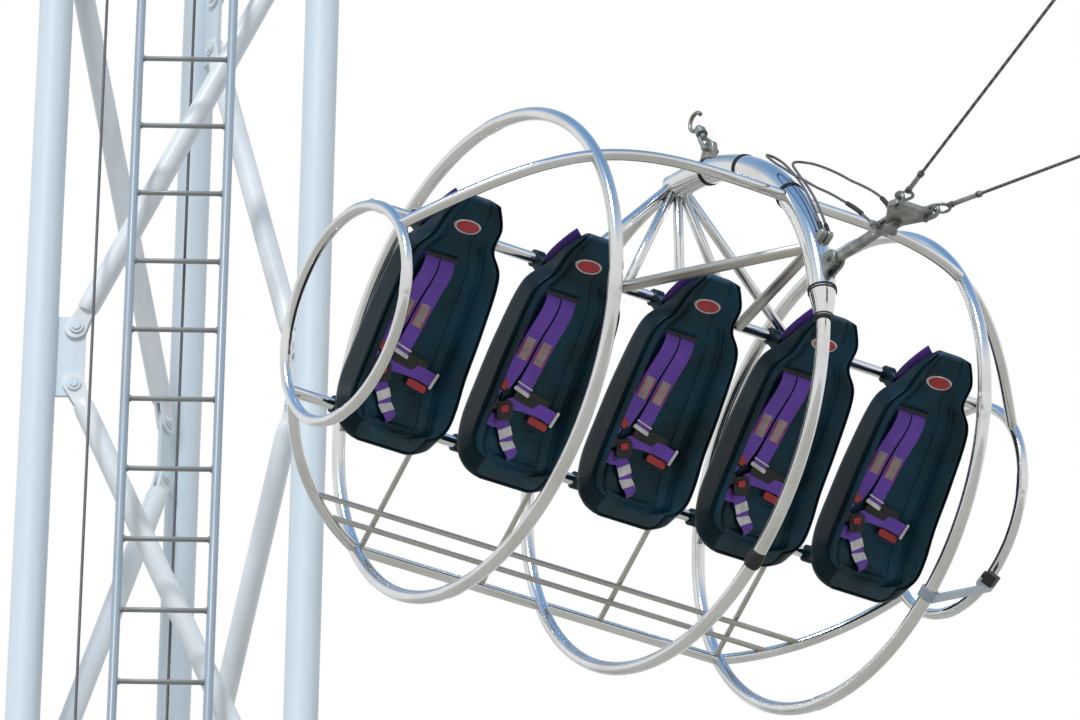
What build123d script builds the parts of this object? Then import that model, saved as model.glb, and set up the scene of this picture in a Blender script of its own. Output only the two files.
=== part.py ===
"""Cable-swing reverse bungee ride: one ladder mast, two swing masts and a five-seat hooped gondola.

Frame: millimetres, +Z up, +X from the ladder mast towards the swing masts, the row of seats along Y.
The origin is on the underside of the ladder mast's base plate, at its centre.
"""

from build123d import *
from math import atan2, cos, degrees, radians, sin, sqrt
import os

os.makedirs("parts", exist_ok=True)

# Masts
face_width = 1105.0
leg_dia = 139.7
panel_height = 2050.0
first_node_z = 540.0
rear_panels = 10
front_panels = 7
leg_over_node = 620.0
base_dia = 1760.0
base_thick = 30.0
bolt_circle = 1600.0
bolt_hole = 36.0
bolt_count = 12
head_dia = 1500.0
head_thick = 24.0
gusset_thick = 16.0
gusset_height = 360.0
gusset_reach = 185.0
pin_offset = 145.0
pin_rise = 131.0
brace_dia = 88.9
brace_sides = 8
fork_thick = 12.0
fork_width = 90.0
fork_reach = 52.0
fork_length = 150.0
fork_inset = 84.0
fit_gap = 0.3
ladder_mast_face_deg = -33.5

# Ladder on the rear mast
ladder_width = 380.0
ladder_rail = 38.0
rung_dia = 21.0
rung_pitch = 315.0
first_rung_z = 290.0
ladder_standoff = 80.0
stay_levels = (1, 4, 6, 9)
stay_height = 50.0
stay_thick = 8.0
stub_share = 0.6
stub_sides = 8
rung_sides = 6

# Ropes that run down the rear mast
rope_dia = 12.0
front_rope_side = -335.0
front_rope_out = 445.0
inner_rope_side = 10.0
inner_rope_out = 90.0
sheave_dia = 420.0
sheave_thick = 46.0
sheave_bore = 60.0
groove = 22.0
groove_half = 3.0
cheek_thick = 14.0
cheek_foot = 260.0
cheek_crown = 70.0
cheek_height = 330.0
sheave_side_gap = 2.0
sheave_lift = 20.0
axle_over = 12.0

# Swing axis and masts
swing_x = 14950.0
swing_z = 15555.0
anchor_y = 2900.0
front_mast_y = 3900.0
anchor_pin_dia = 70.0
beam_size = 160.0
beam_wall = 10.0
beam_inset = 100.0
beam_end_over = 60.0
end_plate_lip = 20.0
end_plate_thick = 30.0
hub_length = 90.0
hub_dia = 130.0
keeper_gap = 2.0
keeper_thick = 20.0
keeper_lip = 20.0

# Gondola placement
gondola_x = 3480.0
gondola_z = 15400.0
pitch_deg = 58.5

# Gondola tubes
hoop_radius = 915.0
hoop_tube = 50.8
hoop_y = 818.0
end_hoop_radius = 405.0
end_hoop_tube = 42.4
end_hoop_y = 1375.0
centre_hoop_radius = 957.0
centre_hoop_x = 85.0
centre_hoop_lift = 5.0
arch_tube = 101.6
arch_rear_deg = -78.0
arch_front_deg = 22.6
reducer_end_deg = 29.6
ring_degs = (-44.1, -29.6, 22.0)
ring_over = 8.0
reducer_lip = 6.0
ring_length = 14.0
keel_tube = 42.4
seat_rail_tube = 42.4
strut_tube = 38.0
foot_bar = 21.3
upper_rail = (-262.0, 320.0)
lower_rail = (-62.0, -400.0)
rear_rail_deg = -138.0
fan_spacing = 250.0
apex_deg = -61.6
brace_front_deg = 12.0
foot_cross_y = (-800.0, -267.0, 267.0, 800.0)
foot_bar_y = (1100.0, 1000.0)
keel_bend_out = 302.0
keel_bend_rise = 190.0
brace_node_y = 265.0
weld_deg = 0.5
thin_sides = 8

# Lugs, link and yoke
lug_deg = 20.0
lug_stand = 38.0
lug_thick = 12.0
lug_dia = 70.0
pin_dia = 22.0
link_thick = 26.0
link_width = 44.0
link_length = 375.0
yoke_thick = 20.0
yoke_spread = 62.0
yoke_reach = 95.0
shackle_bar = 16.0
thimble_radius = 30.0
cable_dia = 12.0
rear_lug_deg = -45.4
pin_over = 8.0
link_waist = 0.7
yoke_tail = (30.0, 24.0)
yoke_shoulder = (14.0, 30.0)
yoke_nose = (26.0, 18.0)
yoke_corner = 10.0
hole_gap = 1.0
shackle_half = 30.0
shackle_leg = 34.0
thimble_bar = 12.0
ferrule_dia = 24.0
ferrule_length = 150.0
socket_dia = 40.0
socket_length = 170.0
socket_root = 8.0
rope_start = 20.0
hook_offset = (164.0, 1242.0)
release_half = 27.0
release_pin_over = 7.0
release_leg = 52.0
stem_start = 76.0
stem_end = 150.0
stem_dia = 24.0
swivel_start = 100.0
swivel_end = 126.0
swivel_dia = 44.0
hook_radius = 36.0

# Safety slings: from a bracket on the arch, back round a hairpin and forward to the link's cross bar
# Each point: x, y, z in the gondola's own frame
sling_dia = 10.0
bracket_deg = 12.4
bracket_rise = 22.0
bracket_size = (30.0, 56.0, 30.0)
cross_bar_dia = 16.0
cross_bar_half = 56.0
sling_eye_dia = 32.0
sling_eye_thick = 16.0
sling_eye_y = 44.0
left_sling_route = (
    (291.5, -14.0, 1056.0), (170.0, -16.0, 1077.0), (30.0, -14.0, 1081.0), (-100.0, -17.0, 1067.0),
    (-196.0, -16.0, 1046.0), (-199.0, -86.0, 1048.0), (-112.0, -84.0, 1066.0),
    (-40.0, -82.0, 1090.0), (38.0, -80.0, 1112.0), (115.0, -76.0, 1141.0),
    (200.0, -72.0, 1168.0), (285.0, -66.0, 1203.0), (385.0, -58.0, 1235.0),
    (493.0, -50.0, 1268.0), (582.7, -44.9, 1281.3),
)
right_sling_route = (
    (291.5, 14.0, 1056.0), (168.0, 16.0, 1075.0), (34.0, 14.0, 1079.0), (-90.0, 15.0, 1066.0),
    (-176.0, 16.0, 1062.0), (-176.0, 88.0, 1082.0), (-68.0, 85.0, 1133.0),
    (62.0, 80.0, 1185.0), (140.0, 77.0, 1211.0), (209.0, 74.0, 1240.0), (325.0, 66.0, 1283.0),
    (405.0, 58.0, 1306.0), (506.0, 50.0, 1321.0), (583.7, 45.0, 1289.7),
)
arc_share = 0.45

# Camera on its flat arm between the right hoops
arm_hoop_deg = 84.0
arm_end_deg = 97.0
arm_width = 40.0
arm_thick = 8.0
arm_clamp_wall = 9.0
camera_along = 664.0
camera_long = 60.0
camera_size = 44.0
lens_dia = 30.0
lens_length = 14.0

# Seats
seat_pitch = 530.0
seat_count = 5
shell_wall = 9.0
shell_depth = 75.0
pad_gap = 0.8
strap_width = 74.0
strap_thick = 3.0
strap_gap = 0.3
buckle_size = (64.0, 58.0, 20.0)
buckle_lift = 3.2
strap_insets = (6.0, 10.0, 8.0)
lap_half = 100.0
crotch_half = 24.0
shell_chamfer = 30.0
crest_width = 46.0
crest_share = 0.4
crest_rise = 8.0
pad_middle = 8.0
clamp_width = 40.0
clamp_side = 110.0
clamp_wall = 14.0

# Values that follow from those above
centre_hoop_z = centre_hoop_radius - hoop_radius + centre_hoop_lift
keel_bend = (hoop_y + keel_bend_out, hoop_radius - keel_bend_rise)


def node_z(k):
    """Height of one level of gussets."""
    return first_node_z + k * panel_height


def foot_level(y):
    """Depth of the keel rail's curved end below the hoop axis at a place along the row."""
    x1, z1 = hoop_y, hoop_radius
    x2, z2 = keel_bend
    x3, z3 = end_hoop_y, end_hoop_radius
    d = 2 * (x1 * (z2 - z3) + x2 * (z3 - z1) + x3 * (z1 - z2))
    s1, s2, s3 = x1 * x1 + z1 * z1, x2 * x2 + z2 * z2, x3 * x3 + z3 * z3
    cx = (s1 * (z2 - z3) + s2 * (z3 - z1) + s3 * (z1 - z2)) / d
    cz = (s1 * (x3 - x2) + s2 * (x1 - x3) + s3 * (x2 - x1)) / d
    radius = sqrt((x1 - cx) ** 2 + (z1 - cz) ** 2)
    return cz + sqrt(radius ** 2 - (y - cx) ** 2)


leg_radius_out = face_width / sqrt(3)
face_out = face_width / (2 * sqrt(3))


def save(part, name):
    """Labels one finished piece and writes it to its own file."""
    part.label = name
    export_step(part, f"parts/{name}.step")


def rod(start, end, dia, sides=0, mode=Mode.ADD):
    """Adds a straight bar from one point to another; sides makes it a polygon."""
    start, end = Vector(*start), Vector(*end)
    with BuildSketch(Plane(origin=start, z_dir=end - start)) as section:
        if sides:
            RegularPolygon(dia / 2, sides)
        else:
            Circle(dia / 2)
    extrude(section.sketch, amount=(end - start).length, mode=mode)


# Gondola frame: local x forward, y along the row, z up, turned about Y by the pitch
tilt = radians(pitch_deg)
gondola = Plane(
    origin=(gondola_x, 0, gondola_z),
    x_dir=(cos(tilt), 0, -sin(tilt)),
    z_dir=(sin(tilt), 0, cos(tilt)),
)


def at(x, y, z):
    """Point of the gondola's own frame."""
    return gondola.from_local_coords(Vector(x, y, z))


def way(x, y, z):
    """Direction of the gondola's own frame."""
    return at(x, y, z) - at(0, 0, 0)


def hoop_plane(y, x=0.0, z=0.0):
    """Plane of a hoop: angle 0 is the gondola's up, and angles grow towards its front."""
    return Plane(origin=at(x, y, z), x_dir=way(0, 0, 1), z_dir=way(0, 1, 0))


def on_hoop(radius, angle, y, x=0.0, z=0.0):
    """Point at an angle round a hoop, in the gondola's own frame."""
    return (x + radius * sin(radians(angle)), y, z + radius * cos(radians(angle)))


def arc_tube(plane, radius, start, end, dia):
    """Sweeps a round tube along an arc of a hoop plane."""
    with BuildLine(plane) as path:
        CenterArc((0, 0), radius, start, end - start)
    with BuildSketch(Plane(origin=path.line @ 0, z_dir=path.line % 0)) as section:
        Circle(dia / 2)
    sweep(section.sketch, path=path.line)


def cone_collar(plane, radius, angle, dia, length):
    """Adds a straight collar that sits on a hoop at an angle."""
    centre = plane.from_local_coords(
        Vector(radius * cos(radians(angle)), radius * sin(radians(angle)), 0)
    )
    ahead = plane.from_local_coords(
        Vector(radius * cos(radians(angle + 1)), radius * sin(radians(angle + 1)), 0)
    )
    along = (ahead - centre).normalized()
    rod(centre - along * (length / 2), centre + along * (length / 2), dia)


def mast_point(centre, facing, side, out, z):
    """Point of a mast: side runs to the right as seen from outside the ladder face, out is outwards."""
    f = radians(facing)
    return (
        centre[0] + out * cos(f) - side * sin(f),
        centre[1] + out * sin(f) + side * cos(f),
        z,
    )


def face_frame(centre, facing):
    """Upright plane of one mast face: x to the side, y up, z outwards."""
    origin = mast_point(centre, facing, 0, face_out, 0)
    f = radians(facing)
    return Plane(origin=origin, x_dir=(-sin(f), cos(f), 0), z_dir=(cos(f), sin(f), 0))


def gussets(frame, panels):
    """Adds the gusset plates of one face, on one leg and then the other."""
    middle = (face_width - gusset_reach) / 2
    with BuildSketch(frame.offset(-gusset_thick / 2)) as plates:
        for k in range(panels + 1):
            with Locations((middle if k % 2 else -middle, node_z(k))):
                Rectangle(gusset_reach, gusset_height)
    extrude(plates.sketch, amount=gusset_thick)


def brace_ends(k):
    """Lower and upper pin of brace k in its face, as side and height."""
    side = 1 if k % 2 else -1
    reach = face_width / 2 - pin_offset
    return (Vector(side * reach, node_z(k) + pin_rise),
            Vector(-side * reach, node_z(k + 1) - pin_rise))


def brace_row(frame, panels):
    """Adds the zigzag braces of one face, each with a forked end over its gusset plate."""
    cheek_z = gusset_thick / 2 + fit_gap
    for k in range(panels):
        foot, top = brace_ends(k)
        run = (top - foot).normalized()
        inset = run * fork_inset
        rod(frame.from_local_coords(foot + inset), frame.from_local_coords(top - inset),
            brace_dia, brace_sides)
    for level in (cheek_z, -cheek_z - fork_thick):
        with BuildSketch(frame.offset(level)) as cheeks:
            for k in range(panels):
                foot, top = brace_ends(k)
                run = (top - foot).normalized()
                turn = degrees(atan2(run.Y, run.X))
                for end, toward in ((foot, run), (top, run * -1)):
                    middle = end + toward * (fork_length / 2 - fork_reach)
                    with Locations(Location((middle.X, middle.Y, 0), turn)):
                        Rectangle(fork_length, fork_width)
        extrude(cheeks.sketch, amount=fork_thick)


def mast(name, centre, facing, panels, top):
    """Makes the base plate, the legs with their gussets and the three braced faces of one mast."""
    facings = [facing, facing + 120, facing + 240]
    with BuildPart() as base:
        with BuildSketch(Plane(origin=(centre[0], centre[1], 0))):
            Circle(base_dia / 2)
            with PolarLocations(bolt_circle / 2, bolt_count):
                Circle(bolt_hole / 2, mode=Mode.SUBTRACT)
        extrude(amount=base_thick)
    save(base.part, f"{name}_base")
    with BuildPart() as legs:
        for turn in facings:
            leg = mast_point(centre, turn, -face_width / 2, face_out, base_thick)
            rod(leg, (leg[0], leg[1], top), leg_dia)
        for turn in facings:
            gussets(face_frame(centre, turn), panels)
    save(legs.part, f"{name}_legs")
    for label, turn in zip(("face_braces", "right_braces", "left_braces"), facings):
        with BuildPart() as braces:
            brace_row(face_frame(centre, turn), panels)
        save(braces.part, f"{name}_{label}")


# Rear mast, with its ladder, head and ropes
rear_centre = (0.0, 0.0)
rear_top = node_z(rear_panels) + leg_over_node
mast("rear_mast", rear_centre, ladder_mast_face_deg, rear_panels, rear_top)
ladder_out = face_out + leg_dia / 2 + ladder_standoff + ladder_rail / 2


def rear_point(side, out, z):
    """Point of the rear mast."""
    return mast_point(rear_centre, ladder_mast_face_deg, side, out, z)


with BuildPart() as head:
    with BuildSketch(Plane(origin=(0, 0, rear_top))):
        Circle(head_dia / 2)
    extrude(amount=head_thick)
    cheek_rise = rear_top + head_thick
    for side in (-1, 1):
        cheek_y = side * (sheave_thick / 2 + sheave_side_gap + cheek_thick / 2)
        with BuildSketch(Plane.XZ.offset(-cheek_y - cheek_thick / 2)):
            with BuildLine():
                Polyline((-cheek_foot, cheek_rise), (-cheek_crown, cheek_rise + cheek_height),
                         (cheek_crown, cheek_rise + cheek_height), (cheek_foot, cheek_rise),
                         close=True)
            make_face()
        extrude(amount=cheek_thick)
    sheave_z = rear_top + head_thick + sheave_dia / 2 + sheave_lift
    axle_half = sheave_thick / 2 + sheave_side_gap + cheek_thick + axle_over
    rod((0, -axle_half, sheave_z), (0, axle_half, sheave_z), sheave_bore)
save(head.part, "rear_mast_head")

with BuildPart() as sheave:
    with BuildSketch(Plane(origin=(0, 0, sheave_z), x_dir=(1, 0, 0), z_dir=(0, 0, 1))):
        with BuildLine():
            half = sheave_thick / 2
            bore, rim = sheave_bore / 2 + fit_gap, sheave_dia / 2
            Polyline((bore, -half), (rim, -half), (rim - groove, -groove_half),
                     (rim - groove, groove_half), (rim, half), (bore, half), close=True)
        make_face()
    revolve(axis=Axis((0, 0, sheave_z), (0, 1, 0)))
save(sheave.part, "rear_mast_sheave")

with BuildPart() as ladder:
    stay_out = face_out + leg_dia / 2 + fit_gap
    for level in stay_levels:
        z = node_z(level) + panel_height / 2
        stay = Plane(origin=rear_point(0, stay_out, z), z_dir=Vector(*rear_point(0, 1, 0)),
                     x_dir=Vector(*rear_point(1, 0, 0)))
        with BuildSketch(stay):
            Rectangle(face_width, stay_height)
        extrude(amount=stay_thick)
        for side in (-1, 1):
            rod(rear_point(side * ladder_width / 2, stay_out + stay_thick / 2, z),
                rear_point(side * ladder_width / 2, ladder_out, z),
                stay_height * stub_share, stub_sides)
    for side in (-1, 1):
        foot = rear_point(side * ladder_width / 2, ladder_out, base_thick)
        peak = rear_point(side * ladder_width / 2, ladder_out, rear_top)
        rod(foot, peak, ladder_rail + 2 * fit_gap, mode=Mode.SUBTRACT)
        rod(foot, peak, ladder_rail)
    rung_count = int((rear_top - first_rung_z) // rung_pitch)
    for k in range(rung_count):
        z = first_rung_z + k * rung_pitch
        rod(rear_point(-ladder_width / 2, ladder_out, z),
            rear_point(ladder_width / 2, ladder_out, z), rung_dia, rung_sides)
save(ladder.part, "rear_mast_ladder")

with BuildPart() as ropes:
    for side, out in ((front_rope_side, front_rope_out), (inner_rope_side, inner_rope_out)):
        rod(rear_point(side, out, base_thick), rear_point(side, out, rear_top), rope_dia, thin_sides)
save(ropes.part, "rear_mast_ropes")

# Swing masts, one each side of the swing axis
top = swing_z - beam_size / 2 - head_thick
for name, side in (("left_mast", -1), ("right_mast", 1)):
    centre = (swing_x, side * front_mast_y)
    mast(name, centre, -90 * side, front_panels, top)
    with BuildPart() as head:
        with BuildSketch(Plane(origin=(centre[0], centre[1], top))):
            Circle(head_dia / 2)
        extrude(amount=head_thick)
        beam_start = front_mast_y + head_dia / 2 - beam_inset
        beam_end = anchor_y + hub_length / 2 + beam_end_over
        with BuildSketch(Plane(origin=(swing_x, side * beam_start, swing_z),
                               x_dir=(1, 0, 0), z_dir=(0, -side, 0))):
            Rectangle(beam_size, beam_size)
            Rectangle(beam_size - 2 * beam_wall, beam_size - 2 * beam_wall, mode=Mode.SUBTRACT)
        extrude(amount=beam_start - beam_end)
        with BuildSketch(Plane(origin=(swing_x, side * beam_end, swing_z),
                               x_dir=(1, 0, 0), z_dir=(0, -side, 0))):
            Rectangle(beam_size + 2 * end_plate_lip, beam_size + 2 * end_plate_lip)
        extrude(amount=end_plate_thick)
        keeper_start = anchor_y - hub_length / 2 - keeper_gap
        rod((swing_x, side * beam_end, swing_z),
            (swing_x, side * (keeper_start - keeper_thick / 2), swing_z), anchor_pin_dia)
        rod((swing_x, side * keeper_start, swing_z),
            (swing_x, side * (keeper_start - keeper_thick), swing_z),
            anchor_pin_dia + 2 * keeper_lip)
    save(head.part, f"{name}_head")

# Gondola hoops
for name, side in (("left_hoop", -1), ("right_hoop", 1)):
    with BuildPart() as hoop:
        with Locations(hoop_plane(side * hoop_y)):
            Torus(hoop_radius, hoop_tube / 2)
    save(hoop.part, name)
for name, side in (("left_end_hoop", -1), ("right_end_hoop", 1)):
    with BuildPart() as hoop:
        with Locations(hoop_plane(side * end_hoop_y)):
            Torus(end_hoop_radius, end_hoop_tube / 2)
    save(hoop.part, name)

centre_plane = hoop_plane(0, centre_hoop_x, centre_hoop_z)


def centre_at(radius, angle, y=0.0):
    """Point at an angle round the centre hoop, in the gondola's own frame."""
    return at(*on_hoop(radius, angle, y, centre_hoop_x, centre_hoop_z))


def cope(*names):
    """Cuts the bars made so far back to the hoops and rails that they are welded to."""
    for name in names:
        if name == "hoops":
            for y in (-hoop_y, hoop_y):
                with Locations(hoop_plane(y)):
                    Torus(hoop_radius, hoop_tube / 2 + fit_gap, mode=Mode.SUBTRACT)
        elif name == "ends":
            for y in (-end_hoop_y, end_hoop_y):
                with Locations(hoop_plane(y)):
                    Torus(end_hoop_radius, end_hoop_tube / 2 + fit_gap, mode=Mode.SUBTRACT)
        elif name == "centre":
            with Locations(centre_plane):
                Torus(centre_hoop_radius, hoop_tube / 2 + fit_gap, mode=Mode.SUBTRACT)
        elif name == "arch":
            with Locations(centre_plane):
                Torus(centre_hoop_radius, arch_tube / 2 + fit_gap, mode=Mode.SUBTRACT)
        else:
            x, z = {"upper": upper_rail, "lower": lower_rail}[name]
            with Locations(Plane(origin=at(x, 0, z), z_dir=(0, 1, 0))):
                Cylinder(seat_rail_tube / 2 + fit_gap, 2 * end_hoop_y, mode=Mode.SUBTRACT)


with BuildPart() as arch:
    arc_tube(centre_plane, centre_hoop_radius, arch_rear_deg, arch_front_deg, arch_tube)
    for angle in (arch_rear_deg + 0.6, *ring_degs):
        cone_collar(centre_plane, centre_hoop_radius, angle, arch_tube + ring_over, ring_length)
    reducer_start = centre_at(centre_hoop_radius, arch_front_deg)
    reducer_end = centre_at(centre_hoop_radius, reducer_end_deg)
    reducer_way = reducer_end - reducer_start
    with BuildSketch(Plane(origin=reducer_start, z_dir=reducer_way)):
        Circle(arch_tube / 2)
    with BuildSketch(Plane(origin=reducer_end, z_dir=reducer_way)):
        Circle(hoop_tube / 2 + reducer_lip)
    loft()
    # Front lug: two cheeks on the outside of the arch, bored for the link's pin
    lug_out = centre_hoop_radius + arch_tube / 2 + lug_stand
    lug_pin = centre_at(lug_out, lug_deg)
    lug_gap = link_thick / 2 + 2 * fit_gap
    lug_root = centre_at(centre_hoop_radius, lug_deg)
    for side in (-1, 1):
        level = side * (lug_gap + lug_thick / 2) - lug_thick / 2
        with BuildSketch(Plane(origin=lug_root, x_dir=lug_pin - lug_root,
                               z_dir=(0, 1, 0)).offset(level)):
            with Locations(((lug_pin - lug_root).length, 0)):
                Circle(lug_dia / 2)
            with Locations(((lug_pin - lug_root).length / 2, 0)):
                Rectangle((lug_pin - lug_root).length, lug_dia)
            with Locations(((lug_pin - lug_root).length, 0)):
                Circle(pin_dia / 2 + fit_gap, mode=Mode.SUBTRACT)
        extrude(amount=lug_thick)
    # Rear lug: one plate on the outside of the arch for the release shackle
    rear_pin = centre_at(lug_out, rear_lug_deg)
    rear_root = centre_at(centre_hoop_radius, rear_lug_deg)
    with BuildSketch(Plane(origin=rear_root, x_dir=rear_pin - rear_root,
                           z_dir=(0, 1, 0)).offset(-lug_thick)):
        with Locations(((rear_pin - rear_root).length, 0)):
            Circle(lug_dia / 2)
        with Locations(((rear_pin - rear_root).length / 2, 0)):
            Rectangle((rear_pin - rear_root).length, lug_dia)
        with Locations(((rear_pin - rear_root).length, 0)):
            Circle(pin_dia / 2 + fit_gap, mode=Mode.SUBTRACT)
    extrude(amount=2 * lug_thick)
    # Bracket that the safety slings start from
    bracket_radius = centre_hoop_radius + arch_tube / 2 + bracket_rise
    bracket = Plane(origin=centre_at(centre_hoop_radius, bracket_deg), x_dir=(0, 1, 0),
                    z_dir=centre_at(bracket_radius, bracket_deg) - centre_at(0, bracket_deg))
    with BuildSketch(bracket) as block:
        Rectangle(bracket_size[1], bracket_size[0])
    extrude(amount=bracket_radius - centre_hoop_radius + bracket_size[2] / 2)
save(arch.part, "centre_arch")

with BuildPart() as lower_hoop:
    arc_tube(centre_plane, centre_hoop_radius, reducer_end_deg + weld_deg,
             360 + arch_rear_deg - weld_deg, hoop_tube)
save(lower_hoop.part, "centre_lower_hoop")

# Keel loop: two rails in the plane of the hoop tops and bottoms, joined by the end hoops
keel = Plane(origin=at(0, 0, 0), x_dir=(0, 1, 0), z_dir=way(1, 0, 0))
with BuildPart() as top_rail:
    with BuildLine(keel) as path:
        Spline((-end_hoop_y, end_hoop_radius), (-hoop_y, hoop_radius),
               (0, centre_hoop_z + centre_hoop_radius), (hoop_y, hoop_radius),
               (end_hoop_y, end_hoop_radius))
    with BuildSketch(Plane(origin=path.line @ 0, z_dir=path.line % 0)):
        Circle(keel_tube / 2)
    sweep(path=path.line)
    cope("hoops", "ends", "arch")
save(top_rail.part, "top_rail")

with BuildPart() as bottom_rail:
    rod(at(0, -hoop_y, -hoop_radius), at(0, hoop_y, -hoop_radius), keel_tube)
    for side in (-1, 1):
        with BuildLine(keel) as path:
            ThreePointArc((side * hoop_y, -hoop_radius), (side * keel_bend[0], -keel_bend[1]),
                          (side * end_hoop_y, -end_hoop_radius))
        with BuildSketch(Plane(origin=path.line @ 0, z_dir=path.line % 0)):
            Circle(keel_tube / 2)
        sweep(path=path.line)
    cope("hoops", "ends", "centre")
save(bottom_rail.part, "bottom_rail")

# Seat rails run from end hoop to end hoop behind the seats
with BuildPart() as seat_rails:
    for x, z in (upper_rail, lower_rail):
        rod(at(x, -end_hoop_y, z), at(x, end_hoop_y, z), seat_rail_tube)
    cope("ends")
save(seat_rails.part, "seat_rails")

with BuildPart() as rear_rail:
    x, y, z = on_hoop(hoop_radius, rear_rail_deg, hoop_y)
    rod(at(x, -y, z), at(x, y, z), strut_tube)
    cope("hoops", "centre")
save(rear_rail.part, "rear_rail")

# Struts fan out from the arch to the upper seat rail
with BuildPart() as fan:
    for k in (-2, -1, 0, 1, 2):
        rod(centre_at(centre_hoop_radius, apex_deg), at(upper_rail[0], k * fan_spacing, upper_rail[1]),
            strut_tube, thin_sides)
    for side in (-1, 1):
        rod(at(upper_rail[0], side * brace_node_y, upper_rail[1]),
            centre_at(centre_hoop_radius, brace_front_deg), keel_tube)
    cope("arch", "upper")
save(fan.part, "arch_struts")

# Footrest: two thin bars along the row and four across
with BuildPart() as foot_rest:
    for y in foot_bar_y:
        z = -foot_level(y)
        rod(at(0, -y, z), at(0, y, z), foot_bar, thin_sides)
    for y in foot_cross_y:
        rod(at(0, y, -hoop_radius), at(lower_rail[0], y, lower_rail[1]), foot_bar, thin_sides)
    rod(at(0, -hoop_y, -hoop_radius), at(0, hoop_y, -hoop_radius), keel_tube + 2 * fit_gap,
        mode=Mode.SUBTRACT)
    for side in (-1, 1):
        with BuildLine(keel) as path:
            ThreePointArc((side * hoop_y, -hoop_radius), (side * keel_bend[0], -keel_bend[1]),
                          (side * end_hoop_y, -end_hoop_radius))
        with BuildSketch(Plane(origin=path.line @ 0, z_dir=path.line % 0)):
            Circle(keel_tube / 2 + fit_gap)
        sweep(path=path.line, mode=Mode.SUBTRACT)
    cope("lower", "hoops", "centre")
save(foot_rest.part, "foot_rest")

# Link, yoke and swing cables
link_way = (Vector(swing_x, 0, swing_z) - lug_pin).normalized()
yoke = lug_pin + link_way * link_length
with BuildPart() as link:
    link_plane = Plane(origin=lug_pin, x_dir=link_way, z_dir=(0, 1, 0))
    link_run = (yoke - lug_pin).length
    with BuildSketch(link_plane.offset(-link_thick / 2)):
        with Locations((0, 0)):
            Circle(link_width / 2)
        with Locations((link_run / 2 - link_width / 2, 0)):
            Rectangle(link_run - link_width, link_width * link_waist)
        Circle(pin_dia / 2 + fit_gap, mode=Mode.SUBTRACT)
    extrude(amount=link_thick)
    flat = Plane(origin=yoke, x_dir=link_way, z_dir=link_way.cross(Vector(0, 1, 0)))
    for level in (yoke_thick / 2 + fit_gap, -yoke_thick / 2 - fit_gap - lug_thick):
        with BuildSketch(flat.offset(level)):
            with Locations((-link_width, 0)):
                Rectangle(2 * link_width, link_width)
            Circle(link_width / 2)
            Circle(pin_dia / 2 + fit_gap, mode=Mode.SUBTRACT)
        extrude(amount=lug_thick)
    with BuildSketch(flat.offset(-yoke_thick / 2 - fit_gap - lug_thick)):
        with Locations((-link_width * 1.75, 0)):
            Rectangle(link_width / 2, link_width)
    extrude(amount=yoke_thick + 2 * (fit_gap + lug_thick))
    cross = yoke - link_way * (link_width * 1.75)
    rod(cross - Vector(0, cross_bar_half, 0), cross + Vector(0, cross_bar_half, 0), cross_bar_dia)
    for side in (-1, 1):
        eye = cross + Vector(0, side * sling_eye_y, 0)
        half = Vector(0, sling_eye_thick / 2, 0)
        rod(eye - half, eye + half, sling_eye_dia)
save(link.part, "link_bar")

with BuildPart() as pins:
    half = lug_gap + lug_thick + pin_over
    rod(lug_pin - Vector(0, half, 0), lug_pin + Vector(0, half, 0), pin_dia)
    tall = flat.z_dir * (yoke_thick / 2 + fit_gap + lug_thick + pin_over)
    rod(yoke - tall, yoke + tall, pin_dia)
save(pins.part, "link_pins")

cable_hole = {side: flat.from_local_coords(Vector(yoke_reach, side * yoke_spread, 0))
              for side in (-1, 1)}
with BuildPart() as yoke_plate:
    with BuildSketch(flat.offset(-yoke_thick / 2)) as outline:
        with BuildLine():
            half_outline = [(-yoke_tail[0], yoke_tail[1]),
                            (yoke_reach - yoke_shoulder[0], yoke_spread + yoke_shoulder[1]),
                            (yoke_reach + yoke_nose[0], yoke_spread + yoke_nose[1])]
            Polyline(*half_outline, *[(u, -v) for u, v in reversed(half_outline)], close=True)
        make_face()
        fillet(outline.vertices(), yoke_corner)
        Circle(pin_dia / 2 + fit_gap, mode=Mode.SUBTRACT)
        with Locations((yoke_reach, yoke_spread), (yoke_reach, -yoke_spread)):
            Circle(shackle_bar / 2 + hole_gap, mode=Mode.SUBTRACT)
    extrude(amount=yoke_thick)
save(yoke_plate.part, "yoke_plate")


def cable_line(side):
    """Hole, anchor, direction and crosswise direction of one swing cable."""
    anchor = Vector(swing_x, side * anchor_y, swing_z)
    hole = cable_hole[side]
    along = (anchor - hole).normalized()
    return hole, anchor, along, along.cross(flat.z_dir).normalized()


with BuildPart() as shackles:
    for side in (-1, 1):
        hole, anchor, along, across = cable_line(side)
        rod(hole - flat.z_dir * shackle_half, hole + flat.z_dir * shackle_half, shackle_bar)
        for level in (-1, 1):
            leg = hole + flat.z_dir * (level * (shackle_half - shackle_bar / 2))
            rod(leg, leg + along * shackle_leg, shackle_bar)
        bow = Plane(origin=hole + along * shackle_leg, x_dir=flat.z_dir, z_dir=across * -1)
        arc_tube(bow, shackle_half - shackle_bar / 2, 0, 180, shackle_bar)
save(shackles.part, "cable_shackles")

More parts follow.
